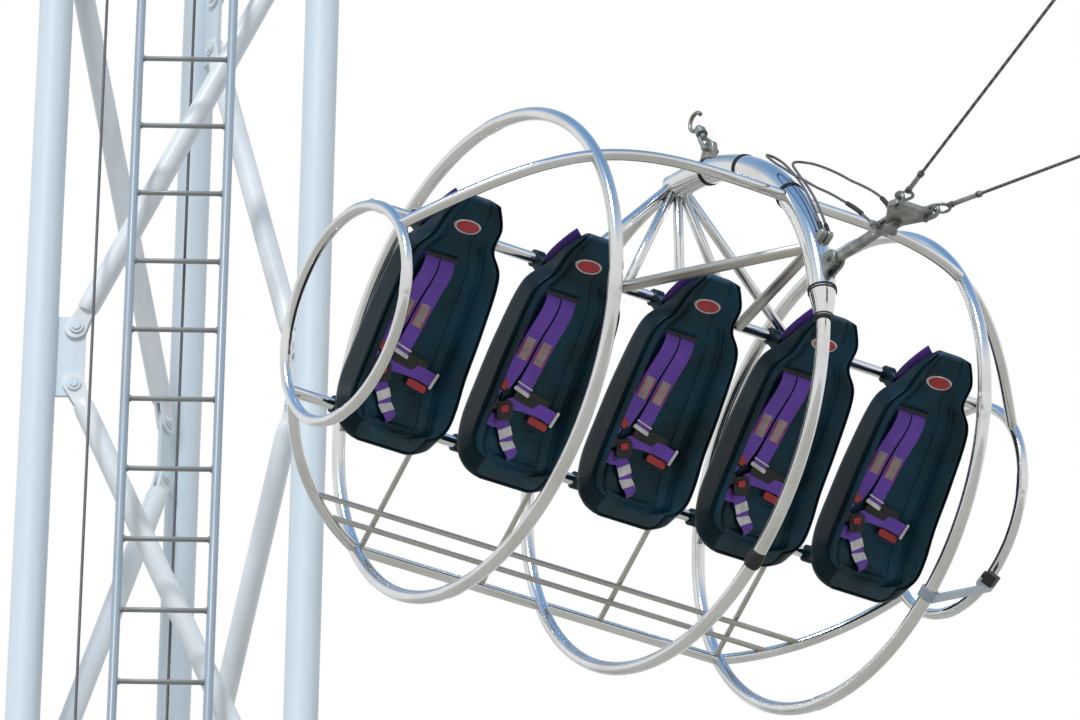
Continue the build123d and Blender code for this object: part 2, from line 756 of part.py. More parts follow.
for name, side in (("left", -1), ("right", 1)):
    hole, anchor, along, across = cable_line(side)
    bow_inside = shackle_leg + shackle_half - shackle_bar
    eye = hole + along * (bow_inside - thimble_bar / 2 - fit_gap + thimble_radius)
    with BuildPart() as cable:
        with Locations(Plane(origin=eye, x_dir=along, z_dir=along.cross(across))):
            Torus(thimble_radius, thimble_bar / 2)
        ferrule_end = thimble_radius + ferrule_length
        socket_start = hub_dia / 2 + socket_length
        rod(eye + along * thimble_radius, eye + along * ferrule_end, ferrule_dia)
        rod(eye + along * (ferrule_end - rope_start),
            anchor - along * (socket_start - rope_start), cable_dia)
        rod(anchor - along * socket_start, anchor - along * (hub_dia / 2 - socket_root), socket_dia)
        with Locations(Plane(origin=anchor, z_dir=(0, 1, 0))):
            Cylinder(hub_dia / 2, hub_length)
            Cylinder(anchor_pin_dia / 2 + fit_gap, 2 * hub_length, mode=Mode.SUBTRACT)
    save(cable.part, f"{name}_swing_cable")

# Release gear on the rear lug: shackle, swivel stem and hook
hook_way = (at(0, 0, 0) + Vector(hook_offset[0], 0, hook_offset[1]) - rear_pin).normalized()
with BuildPart() as release:
    pin_half = Vector(0, release_half + release_pin_over, 0)
    rod(rear_pin - pin_half, rear_pin + pin_half, pin_dia)
    for side in (-1, 1):
        leg = rear_pin + Vector(0, side * release_half, 0)
        rod(leg, leg + hook_way * release_leg, shackle_bar)
    arc_tube(Plane(origin=rear_pin + hook_way * release_leg, x_dir=(0, 1, 0),
                   z_dir=Vector(0, 1, 0).cross(hook_way)), release_half, 0, 180, shackle_bar)
    rod(rear_pin + hook_way * stem_start, rear_pin + hook_way * stem_end, stem_dia)
    rod(rear_pin + hook_way * swivel_start, rear_pin + hook_way * swivel_end, swivel_dia)
    arc_tube(Plane(origin=rear_pin + hook_way * (stem_end + hook_radius), x_dir=hook_way * -1,
                   z_dir=(0, 1, 0)), hook_radius, 0, 270, shackle_bar)
save(release.part, "release_gear")


def sling(route, name):
    """Makes one sling as straight runs joined by arcs as large as its runs allow."""
    points = [at(*point) for point in route]
    radii = []
    for before, here, after in zip(points, points[1:], points[2:]):
        first, second = here - before, after - here
        turn = radians(first.get_angle(second))
        shorter = min(first.length, second.length)
        radii.append(arc_share * shorter / (sin(turn / 2) / cos(turn / 2)))
    print(name, "radii", [round(radius) for radius in radii])
    with BuildLine() as path:
        FilletPolyline(*points, radius=radii)
    with BuildSketch(Plane(origin=path.line @ 0, z_dir=path.line % 0)) as section:
        Circle(sling_dia / 2)
    with BuildPart() as tube:
        sweep(section.sketch, path=path.line)
    save(tube.part, name)


sling(left_sling_route, "sling_left")
sling(right_sling_route, "sling_right")

# Camera arm: a flat bar outside the right hoops, with a clamp round each
arm_start = at(*on_hoop(hoop_radius, arm_hoop_deg, hoop_y))
arm_end = at(*on_hoop(end_hoop_radius, arm_end_deg, end_hoop_y))
arm_out = (arm_end - arm_start).cross(way(0, 0, 1)).normalized()
arm_frame = Plane(origin=arm_start + arm_out * (hoop_tube / 2 + fit_gap),
                  x_dir=arm_end - arm_start, z_dir=arm_out)
with BuildPart() as arm:
    with BuildSketch(arm_frame) as bar:
        with Locations(((arm_end - arm_start).length / 2, 0)):
            Rectangle((arm_end - arm_start).length + arm_width, arm_width)
    extrude(amount=arm_thick)
    for centre, angle, tube in ((arm_start, arm_hoop_deg, hoop_tube),
                                (arm_end, arm_end_deg, end_hoop_tube)):
        tangent = way(cos(radians(angle)), 0, -sin(radians(angle)))
        with Locations(Plane(origin=centre, z_dir=tangent)):
            Cylinder(tube / 2 + arm_clamp_wall, arm_width)
    cope("hoops", "ends")
save(arm.part, "camera_arm")

with BuildPart() as camera:
    camera_centre = arm_frame.from_local_coords(
        Vector(camera_along, (arm_width + camera_size) / 2 + fit_gap, arm_thick / 2)
    )
    with Locations(Plane(origin=camera_centre, x_dir=arm_frame.x_dir, z_dir=arm_out)):
        Box(camera_long, camera_size, camera_size)
    rod(camera_centre, camera_centre - arm_out * (camera_size / 2 + lens_length), lens_dia)
save(camera.part, "ride_camera")

# Seats: bucket shell, upholstered pad and harness, all lofted along one seat line
# Each station: x, z of the pad's middle, recline, half width and bolster height
seat_line = (
    (-118, 545, 8, 80, 12),
    (-108, 470, 8, 122, 24),
    (-114, 374, 12, 136, 40),
    (-102, 282, 17, 192, 66),
    (-45, 80, 18, 208, 84),
    (14, -96, 21, 212, 90),
    (72, -222, 38, 216, 90),
    (142, -293, 61, 196, 62),
    (194, -315, 76, 146, 22),
)


def station(index, y):
    """Cross-section plane of the seat line: x across the seat, y towards the sitter."""
    x, z, recline, _, _ = seat_line[index]
    along = way(-sin(radians(recline)), 0, cos(radians(recline)))
    return Plane(origin=at(x, y, z), x_dir=(0, -1, 0), z_dir=along)


def shell_outline(index):
    """Bucket shell section: thin back and sides, open to the front."""
    _, _, _, half, bolster = seat_line[index]
    wall, depth = shell_wall, shell_depth
    bevel = shell_chamfer
    right = [(half, bolster), (half, bevel - depth), (half - bevel, -depth)]
    inner = [(half - bevel - wall / 3, wall - depth), (half - wall, bevel - depth + wall / 3),
             (half - wall, bolster)]
    outside = right + [(-u, v) for u, v in reversed(right)]
    return outside + [(-u, v) for u, v in reversed(inner)] + inner


def pad_outline(index):
    """Upholstery section: fills the shell and rises into a bolster at each side."""
    _, _, _, half, bolster = seat_line[index]
    gap, wall, depth = pad_gap, shell_wall, shell_depth
    edge = half - wall - gap
    bevel = shell_chamfer
    crest = min(crest_width, half * crest_share)
    right = [
        (half - bevel - wall / 3 - gap, wall + gap - depth),
        (edge, bevel - depth + wall / 3 + gap),
        (edge, bolster),
        (edge - crest * 0.45, bolster + crest_rise),
        (edge - crest, bolster * 0.7),
        (edge - crest * 1.5, bolster * 0.18),
        (max(edge - crest * 2.1, pad_middle), 0),
    ]
    return right + [(-u, v) for u, v in reversed(right)]


def seat_loft(outline, y, count):
    """Lofts one seat piece through the first stations of the seat line."""
    faces = []
    for index in range(count):
        with BuildSketch(station(index, y)) as section:
            with BuildLine():
                Polyline(*outline(index), close=True)
            make_face()
        faces.append(section.sketch.faces()[0])
    loft(faces, ruled=True)


def strap(y, indices, spans):
    """Lofts a flat strap over the pad; spans gives its two edges at each station."""
    faces = []
    for index, (a, b) in zip(indices, spans):
        with BuildSketch(station(index, y)) as section:
            with Locations(((a + b) / 2, strap_gap + strap_thick / 2)):
                Rectangle(abs(b - a), strap_thick)
        faces.append(section.sketch.faces()[0])
    loft(faces, ruled=True)


def clamp(y, rail, index):
    """Adds a clamp round a seat rail that reaches the shell's back below one station."""
    x, z = rail
    (x1, z1, *_), (x2, z2, *_) = seat_line[index], seat_line[index + 1]
    across = Vector(z1 - z2, 0, x2 - x1).normalized()
    reach = (Vector(x1, 0, z1) - Vector(x, 0, z)).dot(across) - shell_depth + shell_wall / 2
    rail_centre = at(x, y, z)
    along = way(across.X, 0, across.Z) * reach
    frame = Plane(origin=rail_centre, x_dir=along, z_dir=(0, 1, 0))
    with BuildSketch(frame.offset(-clamp_width / 2)) as block:
        Circle(seat_rail_tube / 2 + clamp_wall)
        with Locations((along.length / 2, 0)):
            Rectangle(along.length, seat_rail_tube + clamp_wall)
        Circle(seat_rail_tube / 2 + fit_gap, mode=Mode.SUBTRACT)
    extrude(block.sketch, amount=clamp_width)


for k in range(seat_count):
    y = (k - (seat_count - 1) / 2) * seat_pitch
    with BuildPart() as shell:
        seat_loft(shell_outline, y, len(seat_line))
        for offset in (-clamp_side, clamp_side):
            clamp(y + offset, upper_rail, 2)
            clamp(y + offset, lower_rail, 6)
    save(shell.part, f"seat_shell_{k + 1}")
    with BuildPart() as pad:
        seat_loft(pad_outline, y, len(seat_line))
    save(pad.part, f"seat_pad_{k + 1}")
    with BuildPart() as harness:
        for side in (-1, 1):
            edges = [(side * inset, side * (inset + strap_width)) for inset in strap_insets]
            strap(y, (3, 4, 5), edges)
        strap(y, (5, 6), [(-lap_half, lap_half)] * 2)
        strap(y, (6, 7), [(-crotch_half, crotch_half)] * 2)
        with BuildSketch(station(5, y)) as buckle:
            with Locations((0, strap_gap + buckle_lift + buckle_size[2] / 2)):
                Rectangle(buckle_size[0], buckle_size[2])
        extrude(buckle.sketch, amount=buckle_size[1] / 2, both=True)
    save(harness.part, f"harness_{k + 1}")
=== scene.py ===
"""Looks of a cable-swing reverse bungee ride: lattice masts, hooped gondola and bucket seats.

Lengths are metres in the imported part's own frame, with Z up and X from the ladder mast to
the swing masts.
"""

from __future__ import annotations

import logging
import math
from dataclasses import dataclass, field
from enum import Enum
from typing import Sequence

import bpy
import numpy as np
from mathutils import Matrix, Vector

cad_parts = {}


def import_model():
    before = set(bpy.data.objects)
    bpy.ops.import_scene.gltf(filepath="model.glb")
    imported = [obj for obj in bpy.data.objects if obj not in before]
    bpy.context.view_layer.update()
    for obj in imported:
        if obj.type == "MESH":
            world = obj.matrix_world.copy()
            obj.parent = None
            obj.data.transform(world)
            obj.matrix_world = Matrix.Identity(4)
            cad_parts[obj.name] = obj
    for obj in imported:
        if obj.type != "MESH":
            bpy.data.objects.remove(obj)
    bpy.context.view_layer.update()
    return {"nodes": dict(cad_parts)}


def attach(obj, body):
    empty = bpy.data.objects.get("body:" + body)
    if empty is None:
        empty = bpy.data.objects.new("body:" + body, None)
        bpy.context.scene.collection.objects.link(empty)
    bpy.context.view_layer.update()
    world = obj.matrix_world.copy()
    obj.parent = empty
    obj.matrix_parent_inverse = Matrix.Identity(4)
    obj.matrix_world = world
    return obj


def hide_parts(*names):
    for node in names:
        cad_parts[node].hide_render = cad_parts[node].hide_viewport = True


log = logging.getLogger("ride")
Point = Sequence[float]
Colour = tuple[float, float, float]


class Body(Enum):
    """The two moving bodies of the ride."""

    FRAME = "ride_frame"
    GONDOLA = "gondola"


class Slot(Enum):
    """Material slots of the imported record."""

    MAST = "mast_paint"
    LADDER = "ladder_steel"
    STEEL = "stainless_tube"
    HARDWARE = "zinc_hardware"
    ROPE = "wire_rope"
    SHELL = "shell"
    VINYL = "seat_vinyl"
    WEBBING = "webbing"


# Shaders


class Wire:
    """A socket whose arithmetic builds Math nodes, so that shader sums read as sums."""

    def __init__(self, recipe: "Recipe", socket: bpy.types.NodeSocket) -> None:
        """Wraps one output socket of a recipe."""
        self.recipe = recipe
        self.socket = socket

    def math(self, operation: str, other: "Wire | float", swap: bool = False) -> "Wire":
        """Joins this value and another in one Math node.

        Args:
            operation: name of the Math node's operation.
            other: the second value.
            swap: puts the other value first.

        Returns:
            The node's result.
        """
        pair = (other, self) if swap else (self, other)
        return self.recipe.wire("ShaderNodeMath", {"operation": operation}, dict(enumerate(pair)))

    def __add__(self, other: "Wire | float") -> "Wire":
        """Sum."""
        return self.math("ADD", other)

    __radd__ = __add__

    def __sub__(self, other: "Wire | float") -> "Wire":
        """Difference."""
        return self.math("SUBTRACT", other)

    def __rsub__(self, other: float) -> "Wire":
        """Difference with the number first."""
        return self.math("SUBTRACT", other, swap=True)

    def __mul__(self, other: "Wire | float") -> "Wire":
        """Product."""
        return self.math("MULTIPLY", other)

    __rmul__ = __mul__

    def __or__(self, other: "Wire") -> "Wire":
        """The larger of two masks."""
        return self.math("MAXIMUM", other)

    __ror__ = __or__

    def clamp(self, low: float, high: float, to_low: float = 0.0, to_high: float = 1.0) -> "Wire":
        """Maps a range of this value onto another, held at its ends.

        Args:
            low: value that gives to_low.
            high: value that gives to_high.
            to_low: result at the low end and below.
            to_high: result at the high end and above.

        Returns:
            The mapped value.
        """
        return self.recipe.wire("ShaderNodeMapRange", {"clamp": True},
                                {0: self, 1: low, 2: high, 3: to_low, 4: to_high})


class Recipe:
    """The node tree of a material or of the world, built node by node."""

    def __init__(self, owner: "bpy.types.Material | bpy.types.World") -> None:
        """Opens the owner's node tree."""
        owner.use_nodes = True
        self.tree = owner.node_tree

    def node(self, kind: str, settings: dict, sockets: dict) -> bpy.types.Node:
        """Adds any node.

        Args:
            kind: the node's type.
            settings: attributes that are set before its sockets; "stops" fills a colour ramp.
            sockets: values or wires by input index or name.

        Returns:
            The new node.
        """
        made = self.tree.nodes.new(kind)
        for key, value in settings.items():
            if key == "stops":
                ramp = made.color_ramp
                while len(ramp.elements) < len(value):
                    ramp.elements.new(0.5)
                for element, (place, colour) in zip(ramp.elements, value):
                    element.position = place
                    element.color = (*colour, 1.0)
            else:
                setattr(made, key, value)
        for key, value in sockets.items():
            if isinstance(value, Wire):
                self.tree.links.new(value.socket, made.inputs[key])
            else:
                made.inputs[key].default_value = value
        return made

    def wire(self, kind: str, settings: dict, sockets: dict, output: "int | str" = 0) -> Wire:
        """Adds any node and wraps one of its outputs.

        Args:
            kind: the node's type.
            settings: attributes, as for node.
            sockets: values or wires, as for node.
            output: number or name of the output.

        Returns:
            The wrapped output.
        """
        return Wire(self, self.node(kind, settings, sockets).outputs[output])


class Coat(Recipe):
    """One material with a Principled shader."""

    def __init__(self, name: str) -> None:
        """Starts an empty material of that name.

        Args:
            name: the material's name.
        """
        self.material = bpy.data.materials.new(name)
        super().__init__(self.material)
        self.shader = self.tree.nodes["Principled BSDF"]

    def place(self, scale: Point = (1, 1, 1), turn: Point = (0, 0, 0)) -> Wire:
        """Object coordinates, turned and scaled.

        Args:
            scale: factor along each axis.
            turn: turn about each axis, in radians.

        Returns:
            The coordinates.
        """
        coords = self.wire("ShaderNodeTexCoord", {}, {}, "Object")
        return self.wire("ShaderNodeMapping", {"vector_type": "POINT"},
                         {0: coords, 2: turn, 3: scale})

    def noise(self, scale: float, detail: float = 3.0, place: Wire | None = None) -> Wire:
        """Noise value from 0 to 1.

        Args:
            scale: features a metre.
            detail: how many finer layers are added.
            place: coordinates, or else the object's own.

        Returns:
            The value.
        """
        return self.wire("ShaderNodeTexNoise", {"noise_dimensions": "3D"},
                         {"Vector": place or self.place(), "Scale": scale, "Detail": detail}, "Fac")

    def wave(self, scale: float, place: Wire, axis: str) -> Wire:
        """Even bands across one direction.

        Args:
            scale: how close the bands are.
            place: coordinates.
            axis: name of the direction.

        Returns:
            The bands' value.
        """
        return self.wire("ShaderNodeTexWave", {"wave_type": "BANDS", "bands_direction": axis},
                         {"Vector": place, "Scale": scale, "Distortion": 0.0}, "Fac")

    def blend(self, low: Colour, high: Colour, factor: Wire) -> Wire:
        """Mixes two colours.

        Args:
            low: colour where the factor is 0.
            high: colour where it is 1.
            factor: share of the second colour.

        Returns:
            The mixed colour.
        """
        return self.wire("ShaderNodeMix", {"data_type": "RGBA"},
                         {0: factor, 6: (*low, 1.0), 7: (*high, 1.0)}, 2)

    def bump(self, height: Wire, strength: float, distance: float) -> None:
        """Feeds a height through a Bump node to the shader's Normal.

        Args:
            height: the height.
            strength: share of the bump that shows.
            distance: depth of a full step, in metres.
        """
        self.set(Normal=self.wire("ShaderNodeBump", {}, {
            "Height": height, "Strength": strength, "Distance": distance}))

    def set(self, **values: "Wire | float | Colour") -> None:
        """Sets the shader's sockets.

        Args:
            values: wires, numbers or colours by socket name, with underscores for its spaces.
        """
        for key, value in values.items():
            socket = self.shader.inputs[key.replace("_", " ")]
            if isinstance(value, Wire):
                self.tree.links.new(value.socket, socket)
            else:
                socket.default_value = (*value, 1.0) if isinstance(value, tuple) else value


@dataclass(frozen=True)
class PolishedTube:
    """Polished stainless tube with a fine drawn grain and faint handling marks."""

    bright: Colour = (0.70, 0.71, 0.71)
    dull: Colour = (0.50, 0.49, 0.45)
    clouds: float = 3.5
    grain: float = 55.0
    marks: tuple = (0.45, 0.70)
    marks_share: float = 0.45
    grain_share: float = 0.06
    polish: float = 0.07
    haze: float = 0.08
    grain_rough: float = 0.02
    depth: float = 0.002

    def make(self, name: str) -> bpy.types.Material:
        """Builds the finish.

        Args:
            name: the material's name.

        Returns:
            The new material.
        """
        r = Coat(name)
        cloud = r.noise(self.clouds, 4.0)
        fine = r.noise(self.grain, 2.0)
        worn = cloud.clamp(*self.marks) * self.marks_share + fine * self.grain_share
        sheen = cloud.clamp(0.35, 0.7, self.polish, self.polish + self.haze)
        r.set(Base_Color=r.blend(self.bright, self.dull, worn), Metallic=1.0,
              Roughness=sheen + fine * self.grain_rough)
        r.bump(fine, 0.03, self.depth)
        return r.material


@dataclass(frozen=True)
class Galvanised:
    """Dull zinc of forged lifting gear, softly mottled and greenish grey."""

    light: Colour = (0.33, 0.35, 0.33)
    dark: Colour = (0.16, 0.17, 0.16)
    spangle: float = 24.0
    dark_range: tuple = (0.30, 0.75)
    metal: float = 0.85
    rough: tuple = (0.38, 0.52)
    depth: float = 0.002

    def make(self, name: str = "galvanised_gear") -> bpy.types.Material:
        """Builds the finish.

        Args:
            name: the material's name.

        Returns:
            The new material.
        """
        r = Coat(name)
        mottle = r.noise(self.spangle)
        r.set(Base_Color=r.blend(self.light, self.dark, mottle.clamp(*self.dark_range)),
              Metallic=self.metal, Roughness=mottle.clamp(0.3, 0.7, *self.rough))
        r.bump(mottle, 0.10, self.depth)
        return r.material


@dataclass(frozen=True)
class StrandedWire:
    """Dark greased wire rope; the lay shows as slanting ridges, painted shade in its grooves."""

    dark: Colour = (0.055, 0.055, 0.06)
    light: Colour = (0.22, 0.22, 0.23)
    lay: float = 42.0
    lay_turn: tuple = (0.4, 0.6, 0.5)
    groove_shade_share: float = 0.6
    grease: float = 90.0
    grease_share: float = 0.3
    depth: float = 0.002

    def make(self, name: str = "stranded_wire") -> bpy.types.Material:
        """Builds the finish.

        Args:
            name: the material's name.

        Returns:
            The new material.
        """
        r = Coat(name)
        twist = r.wave(self.lay, r.place(turn=self.lay_turn), "DIAGONAL")
        # Painted shade: grooves of the lay darker than its ridges; grease noise varies the tone.
        groove_shade_and_grease = 1 - twist * self.groove_shade_share - r.noise(self.grease) * self.grease_share
        r.set(Base_Color=r.blend(self.light, self.dark, groove_shade_and_grease), Metallic=0.7, Roughness=0.48)
        r.bump(twist, 0.6, self.depth)
        return r.material


@dataclass(frozen=True)
class GlossPaint:
    """Painted steel with weather streaks that run down it."""

    coat: Colour
    stain: Colour
    gloss: float = 0.32
    wear: float = 0.35
    streaks: float = 7.0
    streak_stretch: tuple = (1.6, 1.6, 0.12)
    streak_range: tuple = (0.50, 0.78)
    patches: float = 2.2
    patch_range: tuple = (0.35, 0.75)
    gloss_drift: tuple = (-0.06, 0.16)
    orange_peel: float = 130.0
    depth: float = 0.002

    def make(self, name: str) -> bpy.types.Material:
        """Builds the finish.

        Args:
            name: the material's name.

        Returns:
            The new material.
        """
        r = Coat(name)
        streak = r.noise(self.streaks, 5.0, r.place(scale=self.streak_stretch))
        patch = r.noise(self.patches)
        dirt = streak.clamp(*self.streak_range) * patch.clamp(*self.patch_range) * self.wear
        rough = patch.clamp(0.3, 0.7, *(self.gloss + drift for drift in self.gloss_drift))
        r.set(Base_Color=r.blend(self.coat, self.stain, dirt), Roughness=rough)
        r.bump(r.noise(self.orange_peel, 2.0), 0.05, self.depth)
        return r.material


@dataclass(frozen=True)
class Vinyl:
    """Very dark navy seat vinyl, grained and shiny, with a bluer painted sheen in soft patches."""

    deep: Colour = (0.003, 0.011, 0.017)
    painted_sheen: Colour = (0.004, 0.036, 0.070)
    sheen: Colour = (0.40, 0.85, 1.0)
    shine: float = 0.32
    coat_share: float = 0.3
    grain: float = 420.0
    grain_share: float = 0.3
    clouds: float = 5.0
    painted_sheen_range: tuple = (0.38, 0.68)
    rough: tuple = (0.30, 0.42)
    creases: float = 16.0
    crease_stretch: tuple = (1.0, 3.0, 1.0)
    crease_share: float = 1.6
    depth: float = 0.003

    def make(self, name: str = "navy_vinyl") -> bpy.types.Material:
        """Builds the finish.

        Args:
            name: the material's name.

        Returns:
            The new material.
        """
        r = Coat(name)
        grain = r.wire("ShaderNodeTexVoronoi", {"feature": "DISTANCE_TO_EDGE"},
                       {"Vector": r.place(), "Scale": self.grain})
        cloud = r.noise(self.clouds)
        crease = r.noise(self.creases, place=r.place(scale=self.crease_stretch))
        # Base colour: deep navy with a bluer painted sheen in soft cloudy patches.
        r.set(Base_Color=r.blend(self.deep, self.painted_sheen, cloud.clamp(*self.painted_sheen_range)),
              Roughness=cloud.clamp(0.3, 0.7, *self.rough),
              Coat_Weight=self.shine * self.coat_share, Coat_Roughness=0.3,
              Specular_IOR_Level=self.shine, Specular_Tint=self.sheen)
        r.bump(grain * self.grain_share + crease * self.crease_share, 0.30, self.depth)
        return r.material


@dataclass(frozen=True)
class Webbing:
    """Woven harness strap: fine ribs across the strap and a raised edge weave."""

    warp: Colour = (0.150, 0.045, 0.48)
    weft: Colour = (0.070, 0.020, 0.26)
    lean_deg: float = -40.5
    ribs: float = 95.0
    columns: float = 60.0
    soil: float = 9.0
    soil_range: tuple = (0.4, 0.75)
    colour_shares: tuple = (0.35, 0.5)
    height_shares: tuple = (0.7, 0.5)
    fuzz: float = 0.35
    depth: float = 0.0015

    def make(self, name: str = "purple_webbing") -> bpy.types.Material:
        """Builds the finish.

        Args:
            name: the material's name.

        Returns:
            The new material.
        """
        r = Coat(name)
        place = r.place(turn=(0.0, math.radians(self.lean_deg), 0.0))
        ribs = r.wave(self.ribs, place, "Z")
        columns = r.wave(self.columns, place, "Y")
        soil = r.noise(self.soil, 4.0).clamp(*self.soil_range)
        rib_share, soil_share = self.colour_shares
        r.set(Base_Color=r.blend(self.warp, self.weft, ribs * rib_share + soil * soil_share),
              Roughness=0.62, Sheen_Weight=self.fuzz)
        rib_height, column_height = self.height_shares
        r.bump(ribs * rib_height + columns * column_height, 0.5, self.depth)
        return r.material


@dataclass(frozen=True)
class Plain:
    """Moulded or coated small part with slight colour drift."""

    tone: Colour
    metal: float = 0.0
    rough: float = 0.45
    drift: float = 30.0
    drift_range: tuple = (0.35, 0.7)
    darker: float = 0.72
    rough_drift: tuple = (-0.06, 0.1)
    depth: float = 0.001

    def make(self, name: str) -> bpy.types.Material:
        """Builds the finish.

        Args:
            name: the material's name.

        Returns:
            The new material.
        """
        r = Coat(name)
        drift = r.noise(self.drift)
        dark = tuple(c * self.darker for c in self.tone)
        rough = drift.clamp(0.3, 0.7, *(self.rough + change for change in self.rough_drift))
        r.set(Base_Color=r.blend(self.tone, dark, drift.clamp(*self.drift_range)),
              Metallic=self.metal, Roughness=rough)
        r.bump(drift, 0.08, self.depth)
        return r.material


@dataclass
class Palette:
    """Every finish of the ride, made once."""

    tube: bpy.types.Material = field(default_factory=lambda: PolishedTube().make("polished_tube"))
    satin: bpy.types.Material = field(default_factory=lambda: PolishedTube(
        (0.50, 0.49, 0.45), (0.34, 0.33, 0.30), polish=0.40).make("satin_tube"))
    gear: bpy.types.Material = field(default_factory=lambda: Galvanised().make())
    wire: bpy.types.Material = field(default_factory=lambda: StrandedWire().make())
    mast: bpy.types.Material = field(default_factory=lambda: GlossPaint(
        (0.62, 0.73, 0.82), (0.42, 0.47, 0.50)).make("pale_mast_paint"))
    brace: bpy.types.Material = field(default_factory=lambda: GlossPaint(
        (0.74, 0.80, 0.85), (0.46, 0.47, 0.46), wear=0.6).make("pale_brace_paint"))
    ladder: bpy.types.Material = field(default_factory=lambda: GlossPaint(
        (0.30, 0.38, 0.46), (0.20, 0.22, 0.24), wear=0.7).make("ladder_paint"))
    rung: bpy.types.Material = field(default_factory=lambda: GlossPaint(
        (0.24, 0.26, 0.27), (0.12, 0.12, 0.12), wear=0.9).make("worn_rung"))
    # The shell cover is the same vinyl, less shiny; its second colour is a fainter painted sheen.
    shell: bpy.types.Material = field(default_factory=lambda: Vinyl(
        (0.002, 0.008, 0.012), (0.003, 0.016, 0.026), shine=0.12).make("covered_shell"))
    vinyl: bpy.types.Material = field(default_factory=lambda: Vinyl().make())
    webbing: bpy.types.Material = field(default_factory=lambda: Webbing().make())
    rubber: bpy.types.Material = field(default_factory=lambda: Plain(
        (0.012, 0.012, 0.013), rough=0.6).make("black_rubber"))
    red: bpy.types.Material = field(default_factory=lambda: Plain(
        (0.42, 0.022, 0.03), rough=0.3).make("red_plastic"))
    white: bpy.types.Material = field(default_factory=lambda: Plain(
        (0.72, 0.70, 0.72), rough=0.5).make("pale_patch"))
    label: bpy.types.Material = field(default_factory=lambda: Plain(
        (0.34, 0.27, 0.28), rough=0.6).make("worn_label"))
    buckle: bpy.types.Material = field(default_factory=lambda: Plain(
        (0.60, 0.60, 0.60), metal=1.0, rough=0.22).make("plated_buckle"))


# Mesh tools


def mesh_object(name: str, verts: np.ndarray, faces: list[list[int]],
                finish: bpy.types.Material) -> bpy.types.Object:
    """Makes a smooth shaded mesh object.

    Args:
        name: the piece's name.
        verts: its points.
        faces: its faces as lists of point numbers.
        finish: its material.

    Returns:
        The object, linked to the scene.
    """
    mesh = bpy.data.meshes.new(name)
    mesh.from_pydata([tuple(map(float, v)) for v in verts], [], faces)
    mesh.materials.append(finish)
    mesh.polygons.foreach_set("use_smooth", [True] * len(mesh.polygons))
    mesh.update()
    made = bpy.data.objects.new(name, mesh)
    bpy.context.scene.collection.objects.link(made)
    return made


def skin(rings: int, size: int, capped: bool = True) -> list[list[int]]:
    """Faces that join a row of rings of points.

    Args:
        rings: how many rings there are.
        size: how many points each ring has.
        capped: closes both ends, or else joins the last ring to the first.

    Returns:
        The faces as lists of point numbers.
    """
    faces = [[k * size + j, k * size + (j + 1) % size,
              (k + 1) % rings * size + (j + 1) % size, (k + 1) % rings * size + j]
             for k in range(rings - 1 if capped else rings) for j in range(size)]
    if capped:
        faces += [list(range(size))[::-1], list(range((rings - 1) * size, rings * size))]
    return faces


